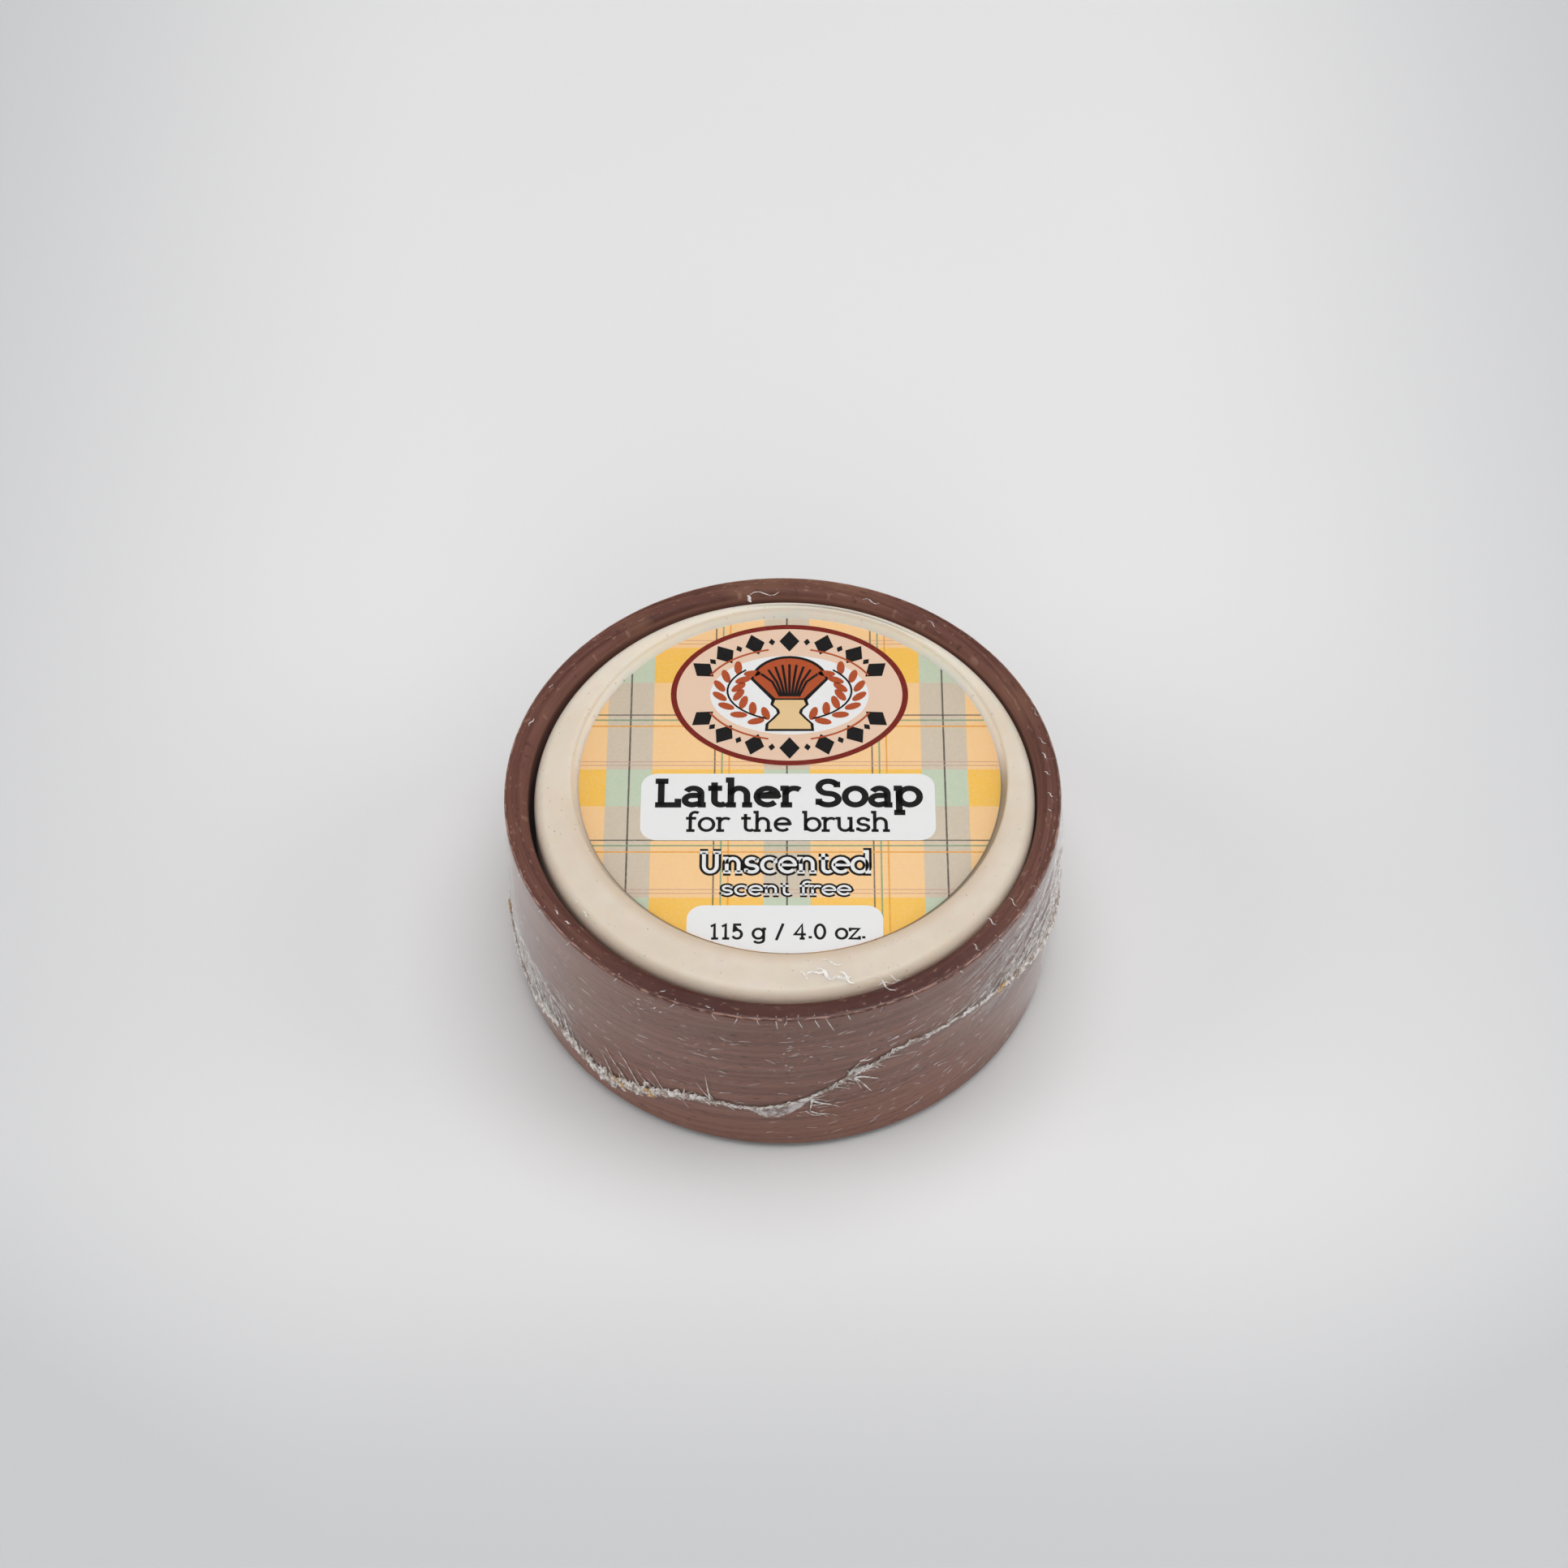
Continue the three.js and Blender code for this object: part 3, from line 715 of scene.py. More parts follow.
def make_print():
    """White panels, words, and an oval badge with a shaving brush between two sprigs."""
    white = ink("ink_white", (0.80, 0.80, 0.80))
    black = ink("ink_black", (0.006, 0.005, 0.005), 0.02)
    maroon = ink("ink_maroon", (0.180, 0.012, 0.006))
    blush = ink("ink_blush", (0.780, 0.560, 0.420))
    rust = ink("ink_rust", (0.420, 0.075, 0.020))
    straw = ink("ink_straw", (0.760, 0.540, 0.280))
    badge = (0.0, 16.75)
    low_panel = ellipse(11.3, -25.9, 5, 5, 0, 90, 8) + ellipse(-12.7, -25.9, 5, 5, 90, 180, 8)
    low_panel += curve_arc(0, 0, 40, 40, 241.6, 295.5, 24)
    panels = [flat(rounded_box(-22.5, 22.0, -11.4, 1.2, 2.5), 0.2), flat(low_panel, 0.2)]
    ink_piece("print_panels", panels, white)
    ink_piece("print_badge_edge", [flat(ellipse(*badge, 36.7, 27.9), 0.2)], maroon)
    ink_piece("print_badge_field", [flat(ellipse(*badge, 34.9, 26.1), 1.2)], blush)
    ink_piece("print_badge_centre", [flat(ellipse(badge[0], 16.6, 24.5, 15.6), 2.2)], white)
    low = LABEL_TOP + INK * 2.2
    arcs = [curve_arc(*badge, 13.4, 9.1, start, start + 52) for start in (24, 104, 204, 284)]
    ink_piece("print_badge_arcs", [stroke_solid(on_label(a), 0.32 * MM, low, low + INK) for a in arcs], rust)
    make_badge_art(badge, black, rust, straw)
    make_lozenges(badge, black)
    text_piece("print_heading", "Lather Soap", (-20.5, 20.0), -4.75, 4.5, 1.02, 1.2, black)
    text_piece("print_subheading", "for the brush", (-15.7, 15.3), -9.6, 3.3, 0.52, 1.2, black)
    text_piece("print_scent_edge", "Unscented", (-13.5, 12.3), -17.3, 3.6, 1.36, 0.2, black)
    text_piece("print_scent", "Unscented", (-13.5, 12.3), -17.3, 3.6, 0.56, 1.2, white)
    text_piece("print_note_edge", "scent free", (-10.2, 9.2), -21.4, 2.2, 1.02, 0.2, black)
    text_piece("print_note", "scent free", (-10.2, 9.2), -21.4, 2.2, 0.36, 1.2, white)
    text_piece("print_weight", "115 g / 4.0 oz.", (-11.9, 11.4), -29.4, 2.5, 0.42, 1.2, black)


def make_badge_art(badge, black, rust, straw):
    """A shaving brush, knot up, with a sprig of leaves on each side."""
    x, y = badge
    knot = curve_arc(x, y + 2.4, 5.6, 4.7, 8, 172, 18) + [(x - 2.2, y - 0.9), (x + 2.2, y - 0.9)]
    knot_edge = curve_arc(x, y + 2.4, 6.1, 5.2, 6, 174, 18) + [(x - 2.7, y - 1.3), (x + 2.7, y - 1.3)]
    handle = [(2.2, -1.2), (2.5, -2.1), (1.6, -3.1), (1.45, -3.8), (2.3, -4.9), (3.2, -5.9), (3.3, -6.9)]
    rises = [0.3, 0, 0, 0, 0, 0, -0.42]
    handle_edge = [(px + 0.48, py + rise) for (px, py), rise in zip(handle, rises)]
    both = [[(x + s * px, y + py) for px, py in side[::s]] for side in (handle, handle_edge) for s in (1, -1)]
    low = LABEL_TOP + INK * 5.2
    bristles = [[(x + 0.36 * i, y - 0.5), (x + 0.66 * i, y + 2.4), (x + 1.1 * i, y + 5.9 - 0.12 * i * i)]
                for i in range(-4, 5)]
    ink_piece("print_brush_edge", [flat(knot_edge, 3.2), flat(both[2] + both[3], 3.2)], black)
    ink_piece("print_brush_knot", [flat(knot, 4.2)], rust)
    ink_piece("print_brush_handle", [flat(both[0] + both[1], 4.2)], straw)
    hairs = [stroke_solid(on_label(bristle), 0.40 * MM, low, low + INK) for bristle in bristles]
    ink_piece("print_bristles", hairs, black)
    leaves, stems = [], []
    for side in (1, -1):
        stems.append([(x + side * px, y + py) for px, py in curve_arc(-0.6, 0.6, 10.2, 6.0, -66, 44, 16)])
        for i in range(7):
            turn = math.radians(-60 + 17 * i)
            for tilt, reach in ((0.75, 1.15), (-0.75, 0.86)):
                cx = (10.2 * reach - 0.2) * math.cos(turn) - 0.6
                cy = 6.0 * reach * math.sin(turn) + 0.6
                way = turn + math.pi / 2 - tilt
                leaf = [(x + side * (cx + 1.35 * px * math.cos(way) - 0.62 * py * math.sin(way)),
                         y + cy + 1.35 * px * math.sin(way) + 0.62 * py * math.cos(way))
                        for px, py in curve_arc(0, 0, 1, 1, 0, 330, 11)]
                leaves.append(leaf)
    stem_solids = [stroke_solid(on_label(stem), 0.3 * MM, low, low + INK) for stem in stems]
    ink_piece("print_stems", stem_solids, black)
    ink_piece("print_sprigs", [flat(leaf, 4.2) for leaf in leaves], rust)


def make_lozenges(badge, black):
    """Rows of lozenges and dots that follow the badge's edge above and below."""
    shapes = []
    for side in (1, -1):
        for i in range(-6, 7):
            turn = math.radians(90 * side - 10.5 * i * side)
            cx, cy = badge[0] + 15.0 * math.cos(turn), badge[1] + 10.6 * math.sin(turn)
            size = 2.1 if i % 2 == 0 else 0.7
            lean = math.radians(-10.5 * i * side * 0.8)
            corners = [(size * 0.75, 0), (0, size), (-size * 0.75, 0), (0, -size)]
            shapes.append(flat([(cx + px * math.cos(lean) - py * math.sin(lean),
                                 cy + px * math.sin(lean) + py * math.cos(lean)) for px, py in corners], 2.2))
    ink_piece("print_lozenges", shapes, black)


def make_base_label():
    """Plain paper under the bowl, with a printed ring."""
    paper = ink("plain_paper", (0.78, 0.76, 0.71))
    top = BOWL_BASE + RECESS_DEPTH - 0.02 * MM
    low = top - PAPER_THICKNESS
    outline = [(0, low), (BASE_LABEL_RADIUS, low), (BASE_LABEL_RADIUS, top), (0, top)]
    label = turned_piece("base_label_paper", outline, paper)
    finish_piece(label, "bowl", "plain_paper", "base_label")
    ring = [(*p, low - INK) for p in ellipse(0, 0, BASE_LABEL_RADIUS * 1.88, BASE_LABEL_RADIUS * 1.88)]
    inner = [(*p, low - INK) for p in ellipse(0, 0, BASE_LABEL_RADIUS * 1.84, BASE_LABEL_RADIUS * 1.84)]
    up = [[(px, py, low) for px, py, _ in loop] for loop in (inner, ring)]
    brown = ink("ink_brown", (0.1, 0.04, 0.03))
    printed = make_object("base_label_ring", *loft([ring, inner, up[0], up[1], ring]), brown)
    finish_piece(printed, "bowl", "plain_paper")


# ---------------------------------------------------------------- shrink film

def read_seam():
    """Angle and height of the weld, from the frame's own seam."""
    points = [v.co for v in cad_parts["film_seam"].data.vertices]
    by_angle = {}
    for p in points:
        by_angle.setdefault(round(math.degrees(math.atan2(p.y, p.x)) * 2) / 2, []).append(p.z)
    angles = sorted(by_angle)
    heights = [(min(by_angle[a]) + max(by_angle[a])) / 2 for a in angles]
    return np.array(angles), np.array(heights)


SEAM_ANGLES, SEAM_HEIGHTS = read_seam()


def seam_height(degrees):
    """Height of the weld at an angle, with the small jitter of a hot-wire cut."""
    smooth = float(np.interp(degrees, SEAM_ANGLES, SEAM_HEIGHTS, period=360))
    turn = math.radians(degrees)
    spot = Vector((math.cos(turn), math.sin(turn), 0)) * 9
    return smooth + (0.35 * noise.noise(spot) + 0.16 * noise.noise(spot * 4)) * MM


def side_radius(z):
    share = (z - BOWL_BASE) / (RIM_TOP - BOWL_BASE)
    return BASE_RADIUS + (BOWL_RADIUS - BASE_RADIUS) * min(max(share, 0), 1)


def bell(value, centre, width):
    return math.exp(-((value - centre) / width) ** 2)


def fold_height(degrees, z):
    """Depth of the gathered folds at a place on the side, from 0 to about 1."""
    turn = math.radians(degrees)
    height = 0.0
    for number, (centre, half, slope, depth, middle, tall) in enumerate(FOLD_ZONES):
        offset = (degrees - centre + 180) % 360 - 180
        if abs(offset) < half:
            beside = math.cos(math.pi / 2 * offset / half) ** 2
            inside = depth * beside * bell(z, middle * MM, tall * 0.8 * MM)
            along = BOWL_RADIUS * math.sin(turn - math.radians(centre))
            spot = Vector((along * FOLD_LENGTH, (z - along * slope) * FOLD_WIDTH * 0.6, number * 9.0))
            crest = max(0.0, 1 - 3.5 * abs(noise.noise(spot * 1.7))) ** 2
            height += inside * (0.5 + noise.noise(spot) + 0.7 * crest)
    return height


def slack(degrees, z):
    """How far the film stands off the wood, on top of its clearance."""
    height = (z - BOWL_BASE) / (RIM_TOP - BOWL_BASE)
    mid = max(0.0, math.sin(math.pi * min(max(height, 0), 1)))
    wide = (degrees + 180) % 360 - 180
    loose = 0.85 * bell(wide, -6, 24) + 0.5 * bell(wide, -168, 20) + 0.3 * bell(wide, 120, 40)
    gathered = 0.30 * fold_height(degrees, z) * min(1.0, 2.2 * mid)
    near_seam = bell(z, seam_height(degrees), 3 * MM)
    return (loose * mid + gathered + 0.08 * near_seam) * MM


def film_circle(radius, z):
    """A level ring of the film. It starts at the left, as the rings on the side do."""
    return circle(ORIGIN, radius, z, FILM_AROUND, -math.pi)


def rings_to_weld(start, rows, gap=0.0):
    """Rings along the side, from a level one to one that ends a gap below the weld."""
    rings = []
    for row in range(rows + 1):
        ring = []
        for i in range(FILM_AROUND):
            degrees = 360 * i / FILM_AROUND - 180
            turn = math.radians(degrees)
            z = start + (seam_height(degrees) - gap - start) * (row / rows)
            r = side_radius(z) + FILM_CLEARANCE + slack(degrees, z)
            ring.append((r * math.cos(turn), r * math.sin(turn), z))
        rings.append(ring)
    return rings


def sheet_object(name, rings, material):
    """A film sheet of even thickness, from rings that run from its pole to its free edge."""
    piece = make_object(name, *loft(rings), material)
    thicken = piece.modifiers.new("thickness", "SOLIDIFY")
    thicken.thickness = FILM_THICKNESS
    thicken.offset = 1
    bpy.context.view_layer.update()
    solid = bpy.data.meshes.new_from_object(piece.evaluated_get(bpy.context.evaluated_depsgraph_get()))
    piece.modifiers.clear()
    piece.data = solid
    return piece


def make_upper_film(material):
    corner = 0.42 * MM
    flat_z = RIM_TOP + FILM_CLEARANCE
    bend = BOWL_RADIUS - corner + FILM_CLEARANCE
    rings = [circle(ORIGIN, 0, flat_z)]
    flat_radii = (BOWL_RADIUS * 0.35, BOWL_RADIUS * 0.7, BORE, bend - 0.1 * MM, bend)
    rings += [film_circle(r, flat_z) for r in flat_radii]
    rings += [film_circle(r, z) for r, z in arc(bend, flat_z - corner, corner, 90, 12, 5)[1:]]
    rings += rings_to_weld(flat_z - corner - 0.25 * MM, rows=26)
    sheet = sheet_object("film_top_sheet", rings, material)
    finish_piece(sheet, "film", "clear_film", "film_upper")


def make_lower_film(material):
    corner = 1.0 * MM
    low = 0.05 * MM
    bend = BASE_RADIUS - corner + FILM_CLEARANCE * 2
    rings = [circle(ORIGIN, 0, low)]
    rings += [film_circle(r, low) for r in (BOWL_RADIUS * 0.35, BOWL_RADIUS * 0.7, bend)]
    rings += [film_circle(r, z) for r, z in arc(bend, low + corner, corner, -90, -8, 6)[1:]]
    rings += rings_to_weld(low + corner + 0.5 * MM, rows=14, gap=WELD_GAP)
    sheet = sheet_object("film_base_sheet", rings, material)
    finish_piece(sheet, "bowl", "clear_film", "film_lower")


def on_side(degrees, z, lift):
    """A point on the film's outside at an angle and a height, lifted off it."""
    turn = math.radians(degrees)
    r = side_radius(z) + FILM_CLEARANCE + FILM_THICKNESS + slack(degrees, z) + lift
    return Vector((r * math.cos(turn), r * math.sin(turn), z))


def thread_ring(p, across, out, width, flatten):
    """One ring of a thread, flattened in the outward direction."""
    turns = [TAU * k / THREAD_SIDES for k in range(THREAD_SIDES)]
    return [p + (across * math.cos(t) + out * math.sin(t) * flatten) * width / 2 for t in turns]


def strand(points, widths, flatten=0.6, outward=None):
    """A thin closed thread through points, with a width at each.

    It is flattened against the bowl's side, or across the outward direction that is given.
    """
    rings = []
    last = len(points) - 1
    for i, p in enumerate(points):
        along = (points[min(i + 1, last)] - points[max(i - 1, 0)]).normalized()
        out = outward or Vector((p.x, p.y, 0)).normalized()
        if abs(along.dot(out)) > 0.9:
            out = Vector((0, 0, 1))
        across = along.cross(out).normalized()
        out = across.cross(along).normalized()
        rings.append(thread_ring(p, across, out, widths[i], flatten))
    return loft([[points[0]], *rings, [points[-1]]])


def make_seam(bead, web, scorched, rng):
    """The weld: threads of melted film round the side, with hairs, webs and burnt flecks."""
    parts = []
    for thread in range(4):
        rope = thread < 2
        count = 3600 if rope else 1800
        phase = Vector((thread * 17.0, 0, 0))
        loops = []
        for i in range(count):
            degrees = 360 * i / count - 180
            turn = math.radians(degrees)
            spot = Vector((math.cos(turn), math.sin(turn), 0)) * 60 + phase
            rough = sum(most * bell(degrees, centre, spread) for centre, spread, most in ROUGH_PLACES)
            twist = TAU * (ROPE_TURNS * i / count + thread / 2)
            jag = 1.7 * noise.noise(spot * 0.55) * max(0.0, noise.noise(spot * 0.11) + 0.45)
            shake = (0.1 + rough * 0.6) * noise.noise(spot)
            z = seam_height(degrees) + (shake + jag + 0.13 * math.sin(twist)) * MM
            lift = (0.13 + 0.09 * math.cos(twist) + 0.06 * noise.noise(spot * 2)) * MM
            width = (0.25 if rope else 0.08) + min(0.6, 0.40 * rough) * abs(noise.noise(spot * 1.7)) * 2
            width *= 1 + 0.5 * noise.noise(spot * 0.9)
            loops.append((on_side(degrees, z, lift), width * MM))
        parts.append(closed_strand(loops))
    parts += [hair(*row) for row in FRONT_HAIRS]
    parts += whiskers(rng)
    parts += scratches(rng, False)
    seam = make_object("film_weld", *gather(parts), bead)
    finish_piece(seam, "bowl", "welded_film", "film_seam")
    webs = make_object("film_web", *gather([web_between(*row) for row in WEBS]), web)
    finish_piece(webs, "bowl", "welded_film")
    flecks = []
    for degrees, rise, size in FLECKS:
        for _ in range(7):
            turn, z = rng.gauss(degrees, size), seam_height(degrees) + (rise + rng.gauss(0, size * 0.4)) * MM
            slant, length = rng.uniform(-80, 80), rng.uniform(0.5, 1.2) * MM
            flecks.append(whisker(turn, z, slant, length, 0.5 * MM, rng, 0.3 * MM))
    burnt = make_object("film_scorch", *gather(flecks), scorched)
    finish_piece(burnt, "bowl", "welded_film")


ROPE_TURNS = 380  # twists of the melted threads round the bowl

# Where the weld is crumpled: angle of the middle, spread, and how rough
ROUGH_PLACES = ((-124, 12, 5.4), (-150, 14, 1.8), (-24, 20, 1.6))

# Hairs of film that stand out at the front: angle and height in mm of each end, and width in mm
FRONT_HAIRS = (
    (-84.1, 13.6, -78.2, 10.3, 0.42), (-84.3, 10.5, -78.8, 8.0, 0.36), (-83.0, 9.6, -80.6, 8.2, 0.26),
    (-84.0, 13.8, -84.4, 10.2, 0.50), (-84.2, 12.4, -80.5, 11.6, 0.26), (-85.2, 10.4, -82.2, 8.4, 0.26),
    (-75.5, 18.1, -70.2, 16.3, 0.46), (-75.5, 18.0, -71.6, 13.3, 0.40), (-75.7, 18.2, -73.6, 14.4, 0.30),
    (-75.5, 18.1, -76.9, 20.6, 0.34), (-76.2, 19.4, -74.2, 22.0, 0.30), (-74.3, 21.9, -71.6, 22.3, 0.42),
    (-77.2, 18.4, -74.4, 20.6, 0.26), (-73.4, 19.8, -70.6, 20.0, 0.26), (-77.6, 17.6, -75.2, 15.9, 0.26),
    (-105.0, 11.6, -105.9, 18.0, 0.32), (-104.3, 11.5, -107.9, 15.2, 0.26),
    (-103.6, 11.4, -105.6, 13.8, 0.22), (-121.0, 8.4, -125.9, 15.0, 0.32),
    (-124.4, 7.6, -129.8, 13.8, 0.34), (-127.6, 6.8, -131.6, 12.2, 0.28),
    (-118.0, 9.2, -121.6, 12.6, 0.24), (-115.0, 10.2, -118.4, 14.4, 0.22),
    (-139.8, 5.8, -143.4, 14.7, 0.55), (-141.2, 6.4, -146.0, 12.0, 0.40),
    (-137.5, 6.0, -140.2, 11.0, 0.36), (-151.6, 8.0, -155.8, 15.2, 0.46),
    (-148.0, 7.4, -152.6, 14.2, 0.40), (-156.0, 7.4, -161.0, 16.0, 0.40),
    (-145.0, 7.6, -148.2, 16.6, 0.34), (-40.4, 21.8, -38.1, 25.4, 0.36), (-36.4, 21.4, -29.8, 24.0, 0.50),
    (-33.0, 20.6, -24.2, 24.4, 0.42), (-28.0, 19.4, -20.0, 23.0, 0.55), (-24.0, 18.4, -16.0, 22.4, 0.50),
    (-20.0, 17.6, -11.0, 24.0, 0.46), (-16.0, 16.6, -8.0, 23.0, 0.46), (-44.0, 21.8, -36.0, 19.2, 0.22),
    (-34.0, 20.4, -29.0, 17.0, 0.28), (-60.0, 23.0, -56.0, 24.0, 0.20), (-50.0, 22.4, -45.8, 24.2, 0.26),
    (-26.0, 18.8, -21.0, 14.8, 0.30),
)

# Thin webs beside the weld: angles of both ends, and how far the middle hangs below or above it, in mm
WEBS = ((-97.5, -83.8, -3.1), (-77.4, -73.2, 1.9), (-136, -124, 1.5), (-33, -14, 2.6), (-157, -143, 2.4))

# Burnt flecks: angle, height above the weld in mm, and spread
FLECKS = ((-171.5, 2.2, 1.2), (-126.0, 0.2, 0.9), (-119.0, -0.1, 0.9), (-40.0, 0.0, 0.6))


def hair(start, start_z, end, end_z, width):
    """One hair between two places on the side, tapering to its end, with a slight wave."""
    steps = 10
    points, widths = [], []
    for i in range(steps + 1):
        s = i / steps
        sway = 0.25 * math.sin(5 * s + start)
        z = (start_z + (end_z - start_z) * s + sway) * MM
        points.append(on_side(start + (end - start) * s, z, 0.07 * MM))
        widths.append(width * (1 - 0.8 * s) * MM)
    return strand(points, widths)


def web_between(start, end, hang):
    """A lens-shaped web on the side that runs along the weld and hangs to one side of it."""
    steps, rows = 20, 5
    loops = []
    for i in range(1, steps):
        s = i / steps
        degrees = start + (end - start) * s
        depth = hang * math.sin(math.pi * s) ** 0.8 * MM
        face = []
        for j in range(rows + 1):
            z = seam_height(degrees) + depth * j / rows
            wave = 0.10 * noise.noise(Vector((degrees * 0.9, z * 1500, 0))) * MM
            face.append((z, 0.12 * MM + wave))
        loops.append([on_side(degrees, z, lift) for z, lift in face]
                     + [on_side(degrees, z, lift - 0.04 * MM) for z, lift in reversed(face)])
    tips = [[on_side(d, seam_height(d), 0.08 * MM)] for d in (start, end)]
    return loft([tips[0], *loops, tips[1]])


# Creases in the sheet over the top: x and y of each end and width, in mm
TOP_CREASES = (
    (3.4, -34.2, 6.2, -33.2, 0.30), (5.0, -33.0, 7.6, -35.0, 0.42), (7.2, -34.9, 9.8, -34.4, 0.46),
    (8.2, -33.6, 10.4, -35.6, 0.32), (5.6, -31.6, 8.6, -32.2, 0.22), (2.4, -33.6, 4.0, -34.8, 0.20),
    (13.0, -34.4, 16.4, -36.8, 0.30), (14.0, -36.0, 16.8, -35.0, 0.22), (15.0, -34.2, 17.2, -35.0, 0.18),
    (-5.6, 38.2, -4.9, 36.9, 0.70), (-5.2, 38.3, -0.6, 38.9, 0.24), (12.6, 37.4, 15.2, 36.6, 0.26),
    (38.2, 15.6, 39.3, 14.0, 0.14), (38.8, 9.8, 40.2, 8.6, 0.20), (39.4, 6.8, 40.4, 5.6, 0.22),
    (39.6, 3.2, 40.6, 2.6, 0.20), (40.0, -0.8, 40.8, -1.6, 0.22), (39.8, -4.0, 40.6, -4.3, 0.16),
    (-33.6, -22.6, -32.8, -23.4, 0.24), (-32.0, -24.6, -31.2, -25.0, 0.28),
    (-29.4, -22.8, -28.6, -23.8, 0.26), (-30.6, -20.8, -30.2, -21.4, 0.20),
    (-38.8, 12.0, -38.2, 13.6, 0.24), (-36.0, 19.4, -35.6, 20.2, 0.20),
    (-17.8, -37.2, -17.0, -36.8, 0.20), (-11.4, -39.6, -10.4, -39.8, 0.20),
    (22.6, 33.0, 24.4, 31.6, 0.16), (30.0, -24.0, 31.4, -25.2, 0.22), (33.4, -20.4, 34.6, -21.8, 0.18),
    (27.8, -28.6, 28.8, -29.8, 0.20),
)

# Short ticks where the film turns over the rim: angle, how far they run down the side in mm, lean in degrees
EDGE_TICKS = (
    (-112, 1.2, -1.0), (-104, 1.0, 0.8), (-99, 1.4, -0.6), (-95, 0.9, 0.4), (-91.3, 1.8, 0.3),
    (-89.2, 1.0, -0.5), (-86.9, 1.6, 0.8), (-83.6, 1.9, 0.9), (-81.4, 3.2, 1.6), (-77, 1.2, 0.6),
    (-70, 0.9, -0.5), (-63, 1.3, 0.9), (-52, 1.0, 0.9), (-41, 1.3, 1.2), (-33, 1.5, 1.3), (-26, 1.7, 1.3),
    (-19, 1.8, 1.2), (-11, 1.5, 1.1), (-3, 1.2, 0.8), (8, 1.1, 0.7), (22, 1.0, 0.6), (48, 1.2, 0.8),
    (95, 1.4, -0.8), (134, 1.8, -1.2), (158, 1.2, -0.9), (-170, 1.4, -1.1), (-158, 1.5, -1.2),
    (-148, 1.3, -1.1), (-138, 1.2, -0.9), (-125, 1.1, -0.8),
)


# Long ridges where the upper sheet is gathered: angle of the middle, spread, how many, lowest and highest
# start in mm, and slant in degrees
RIDGES = ((-32, 8, 40, 20, 28, 24), (-14, 9, 26, 18, 30, 20), (-158, 8, 22, 9, 17, 158),
          (60, 18, 10, 19, 26, 10), (132, 18, 10, 17, 25, 170))


# Fine scratches on the side: angle of the middle, spread, how many, lowest and highest start in mm, and slant
SCRATCHES = ((-48, 15, 110, 2, 30, 24), (-88, 16, 60, 3, 31, 12), (-128, 14, 40, 8, 31, -20),
             (90, 60, 90, 3, 30, 8))


def scratches(rng, upper):
    """Hair-fine bright marks on the upper sheet, or on the lower one."""
    parts = []
    for centre, spread, many, low, high, slant in SCRATCHES:
        for _ in range(many):
            degrees, z = rng.gauss(centre, spread), rng.uniform(low, high) * MM
            tilt, length = slant + rng.gauss(0, 12), rng.uniform(0.4, 2.2) * MM
            if (z > seam_height(degrees) + 0.6 * MM) == upper:
                parts.append(whisker(degrees, z, tilt, length, rng.uniform(0.03, 0.08) * MM, rng, 0.02 * MM))
    return parts


def make_creases(bright, faint, rng):
    """Raised creases in the upper sheet: a few over the soap and rim, and ticks over the rim's edge."""
    level = RIM_TOP + FILM_CLEARANCE + FILM_THICKNESS
    parts, ridges = [], []
    for x1, y1, x2, y2, width in TOP_CREASES:
        steps = 6
        start, end = Vector((x1, y1, 0)) * MM, Vector((x2, y2, 0)) * MM
        sideways = Vector((y1 - y2, x2 - x1, 0)) * MM
        points = []
        for i in range(steps + 1):
            s = i / steps
            point = start.lerp(end, s) + sideways * 0.12 * math.sin(TAU * s)
            points.append(Vector((point.x, point.y, level)))
        widths = [width * MM * (0.4 + 0.9 * math.sin(math.pi * i / steps)) for i in range(steps + 1)]
        on_soap = math.hypot(x1, y1) * MM < PUCK_RADIUS - SHOULDER[0]
        if not on_soap:
            widths = [0.6 * w for w in widths]
        crease = strand(points, widths, 0.12, outward=Vector((0, 0, 1)))
        (parts if on_soap else ridges).append(crease)
    for degrees, run, lean in EDGE_TICKS:
        top = RIM_TOP - 0.35 * MM
        turn = math.radians(degrees)
        inner = BOWL_RADIUS - 0.7 * MM
        points = [Vector((inner * math.cos(turn), inner * math.sin(turn), level))]
        shares = (0, 0.25, 0.5, 0.75, 1)
        points += [on_side(degrees + lean * s, top - run * MM * s, 0.03 * MM) for s in shares]
        parts.append(strand(points, [w * MM for w in (0.04, 0.09, 0.12, 0.11, 0.08, 0.05)], 0.4))
    for centre, spread, many, low, high, slant in RIDGES:
        for _ in range(many):
            degrees = rng.gauss(centre, spread)
            base = seam_height(degrees) / MM + 0.6
            z = max(rng.uniform(low, high), base) * MM
            length = min(rng.uniform(1.5, 6), (33.5 - z / MM) / max(math.tan(math.radians(slant)), 0.1)) * MM
            tilt = slant + rng.gauss(0, 9)
            ridges.append(whisker(degrees, z, tilt, length, rng.uniform(0.14, 0.42) * MM, rng, 0.02 * MM))
    parts += scratches(rng, True)
    for name, solids, material in (("film_creases", parts, bright), ("film_ridges", ridges, faint)):
        finish_piece(make_object(name, *gather(solids), material, smooth=False), "film", "clear_film")


def closed_strand(loops):
    """A thread that closes on itself, from (point, width) pairs."""
    count = len(loops)
    rings = []
    for i, (p, width) in enumerate(loops):
        along = (loops[(i + 1) % count][0] - loops[i - 1][0]).normalized()
        out = Vector((p.x, p.y, 0)).normalized()
        rings.append(thread_ring(p, along.cross(out).normalized(), out, width, 0.7))
    verts, faces = loft(rings + [rings[0]])
    spare = count * THREAD_SIDES
    faces = [tuple(i - spare if i >= spare else i for i in face) for face in faces]
    return verts[:spare], faces


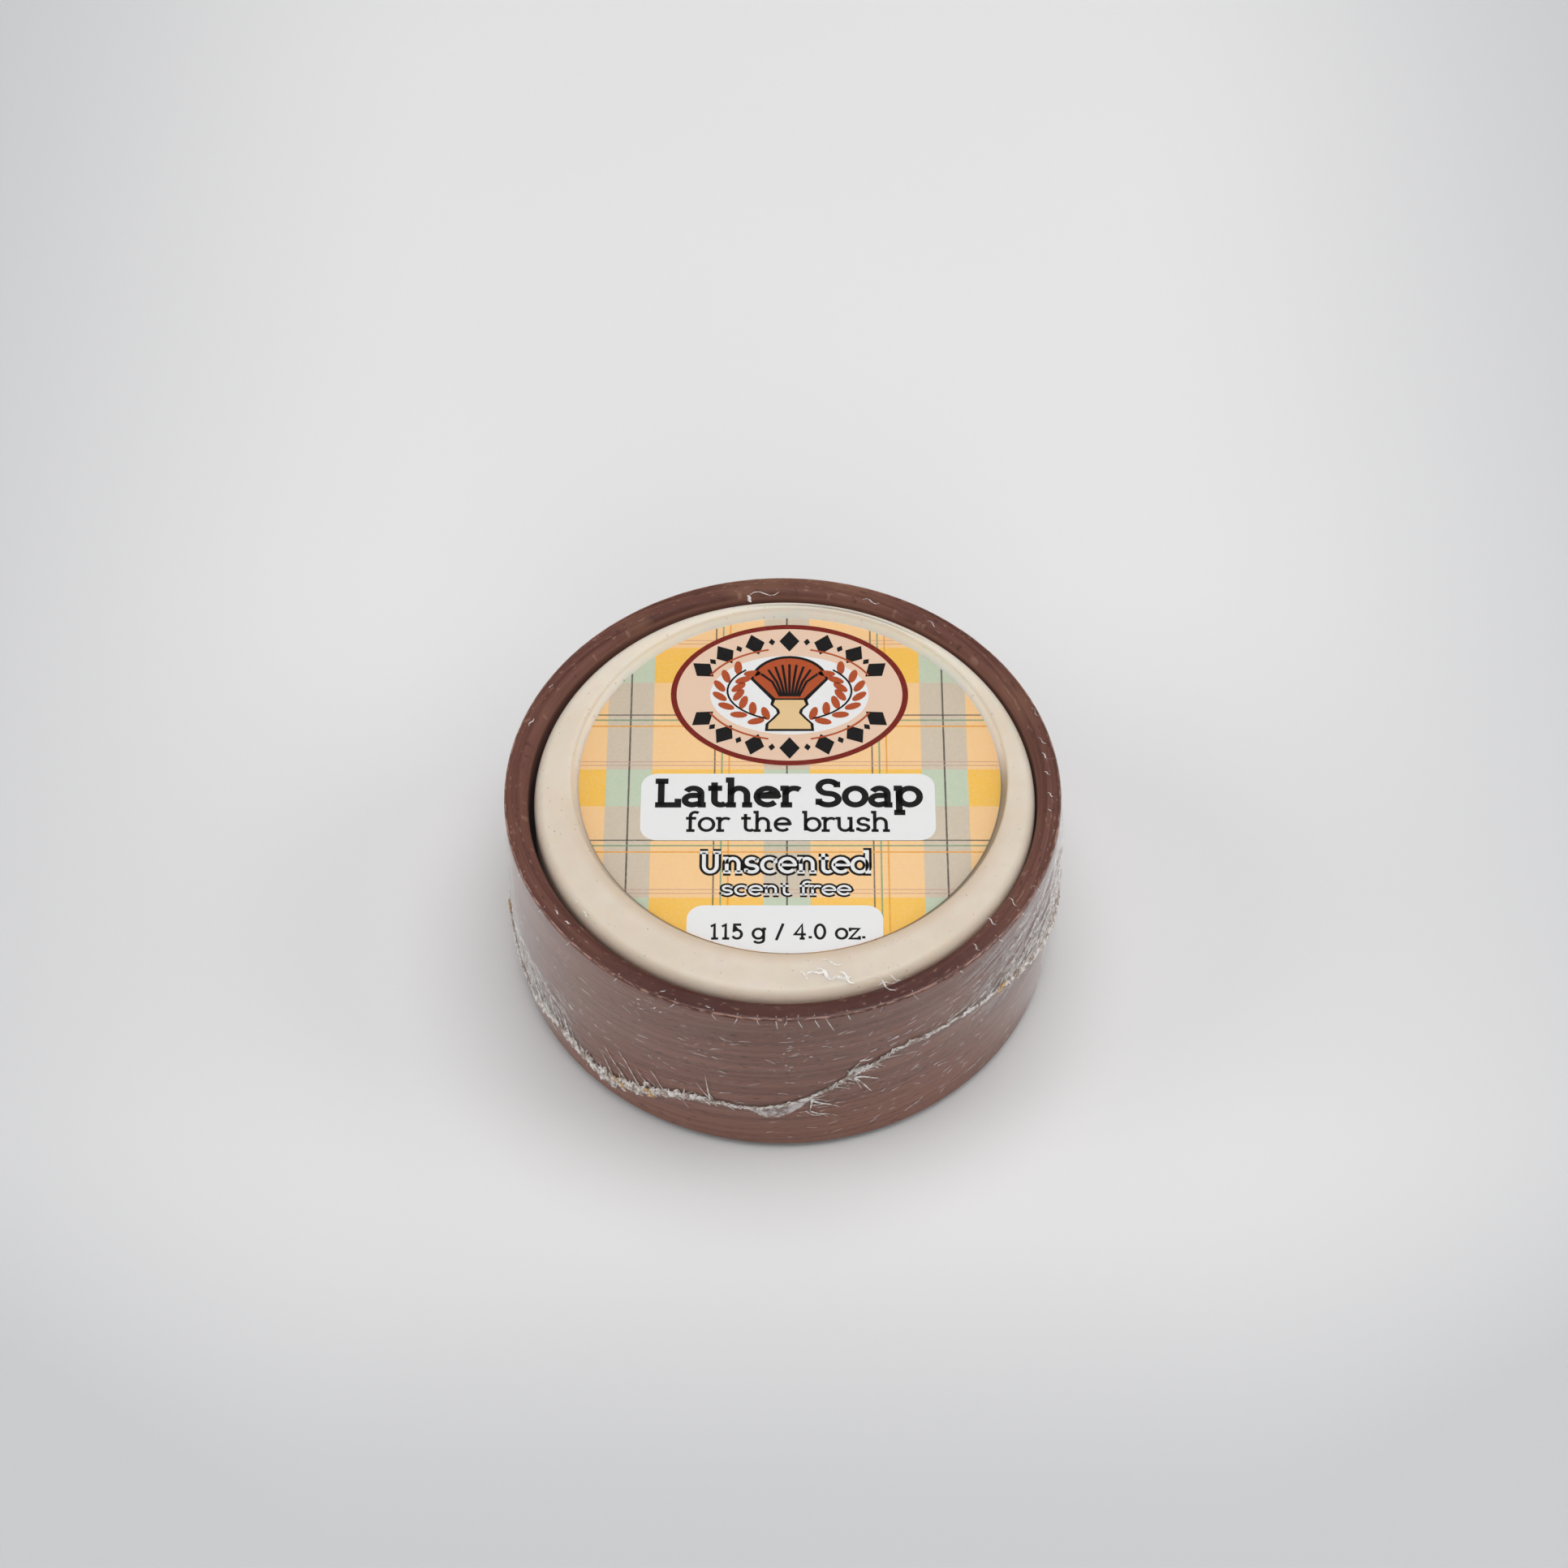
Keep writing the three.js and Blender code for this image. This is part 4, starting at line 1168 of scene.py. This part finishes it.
def whisker(degrees, z, slant, length, width, rng, lift=0.05 * MM):
    """A tapered hair of film that starts at the weld and lies on the side. Slant is degrees from level."""
    steps = 7
    turn = math.radians(slant)
    bend = rng.uniform(-0.35, 0.35)
    points, widths = [], []
    for i in range(steps + 1):
        s = i / steps
        run = length * s
        across = run * math.cos(turn + bend * s)
        up = run * math.sin(turn + bend * s)
        angle = degrees + math.degrees(across / BOWL_RADIUS)
        points.append(on_side(angle, z + up, lift))
        widths.append(width * (1 - 0.9 * s) + 0.03 * MM)
    return strand(points, widths)


def whiskers(rng):
    """Clusters of hairs and flakes along the weld."""
    parts = []
    clusters = (
        # centre, spread, how many, longest (mm), slant low and high, thickest (mm)
        (-152, 14, 60, 3.0, 60, 150, 0.40), (-124, 18, 200, 2.0, -85, 85, 0.80),
        (-130, 12, 40, 2.6, 60, 130, 0.40), (-112, 8, 22, 1.6, 20, 160, 0.30),
        (-86, 6, 12, 4.2, -25, 25, 0.26), (-76, 2.5, 18, 4.6, -60, 60, 0.28),
        (-72, 3, 10, 3.2, -40, 30, 0.26), (-60, 14, 20, 0.9, 20, 160, 0.22),
        (-34, 7, 40, 2.0, 10, 120, 0.45), (-18, 10, 60, 4.0, 15, 80, 0.45),
        (-24, 9, 50, 1.4, -80, 80, 0.55), (10, 16, 26, 3.0, 20, 150, 0.3),
        (70, 40, 40, 2.4, 20, 160, 0.3), (150, 24, 40, 2.6, 20, 160, 0.3))
    for centre, spread, many, longest, low, high, thickest in clusters:
        for _ in range(many):
            degrees = rng.gauss(centre, spread / 2)
            length = longest * rng.uniform(0.35, 1.0) * MM
            slant = rng.uniform(low, high) * rng.choice((1, 1, -1))
            width = rng.uniform(0.25, 1.0) * thickest * MM
            parts.append(whisker(degrees, seam_height(degrees), slant, length, width, rng))
    return parts


# ---------------------------------------------------------------- stage

VIEW_PITCH = 52.53  # degrees below level
VIEW_DISTANCE = 0.552
VIEW_AIM = Vector((0.0002, 0, 0.00071))  # right, none, and up across the view, from the rim's centre
LENS = 83.9
FLOOR_RADIUS = 4.0


def make_camera():
    data = bpy.data.cameras.new("camera")
    data.lens = LENS
    data.sensor_width = 36
    data.clip_start, data.clip_end = 0.01, 20
    camera = bpy.data.objects.new("camera", data)
    bpy.context.scene.collection.objects.link(camera)
    pitch = math.radians(VIEW_PITCH)
    forward = Vector((0, math.cos(pitch), -math.sin(pitch)))
    up = Vector((0, math.sin(pitch), math.cos(pitch)))
    aim = Vector((VIEW_AIM.x, 0, RIM_TOP)) + up * VIEW_AIM.z
    camera.location = aim - forward * VIEW_DISTANCE
    camera.rotation_euler = (math.pi / 2 - pitch, 0, 0)
    bpy.context.scene.camera = camera


def make_light(name, place, size, power):
    data = bpy.data.lights.new(name, "AREA")
    data.shape = "DISK"
    data.size = size
    data.energy = power
    light = bpy.data.objects.new(name, data)
    light.location = place
    light.rotation_euler = (-Vector(place)).to_track_quat("-Z", "Y").to_euler()
    bpy.context.scene.collection.objects.link(light)


def make_stage():
    disc = loft([circle(ORIGIN, 0, 0), circle(ORIGIN, FLOOR_RADIUS, 0, 96)])
    floor = make_object("floor", *disc, pale_floor(), smooth=False)
    make_light("overhead", (0.08, 0.12, 1.1), 0.95, 7.5)
    make_light("left_box", (-1.3, -0.1, 0.75), 1.1, 6.3)
    make_light("right_box", (1.3, 0.0, 0.75), 1.1, 6.3)
    make_light("front_box", (0.1, -1.3, 0.9), 0.9, 4.0)
    world = bpy.data.worlds.new("soft_white")
    world.use_nodes = True
    sky = world.node_tree.nodes["Background"]
    sky.inputs["Color"].default_value = (1.0, 1.0, 1.0, 1.0)
    sky.inputs["Strength"].default_value = 0.14
    bpy.context.scene.world = world
    bpy.context.scene.view_settings.view_transform = "Standard"


# ---------------------------------------------------------------- build

def build():
    rng = random.Random(7)
    make_camera()
    make_stage()
    make_bowl(stained_wood())
    make_puck(soap_cream())
    make_label(plaid_paper())
    make_print()
    make_base_label()
    film = clear_film()
    make_upper_film(film)
    make_lower_film(film)
    bead = welded_film("welded_film", 0.6, 1.0, (0.56, 0.43, 0.35))
    make_seam(bead, welded_film("welded_web", 0.12, 0.5), scorched_film(), rng)
    bright = welded_film("creased_film", 0.35, 0.95, (0.96, 0.94, 0.92), 0.35, 0.00003)
    make_creases(bright, welded_film("folded_film", 0.10, 0.60, (0.80, 0.76, 0.74), 0.4, 0.00006), rng)


build()
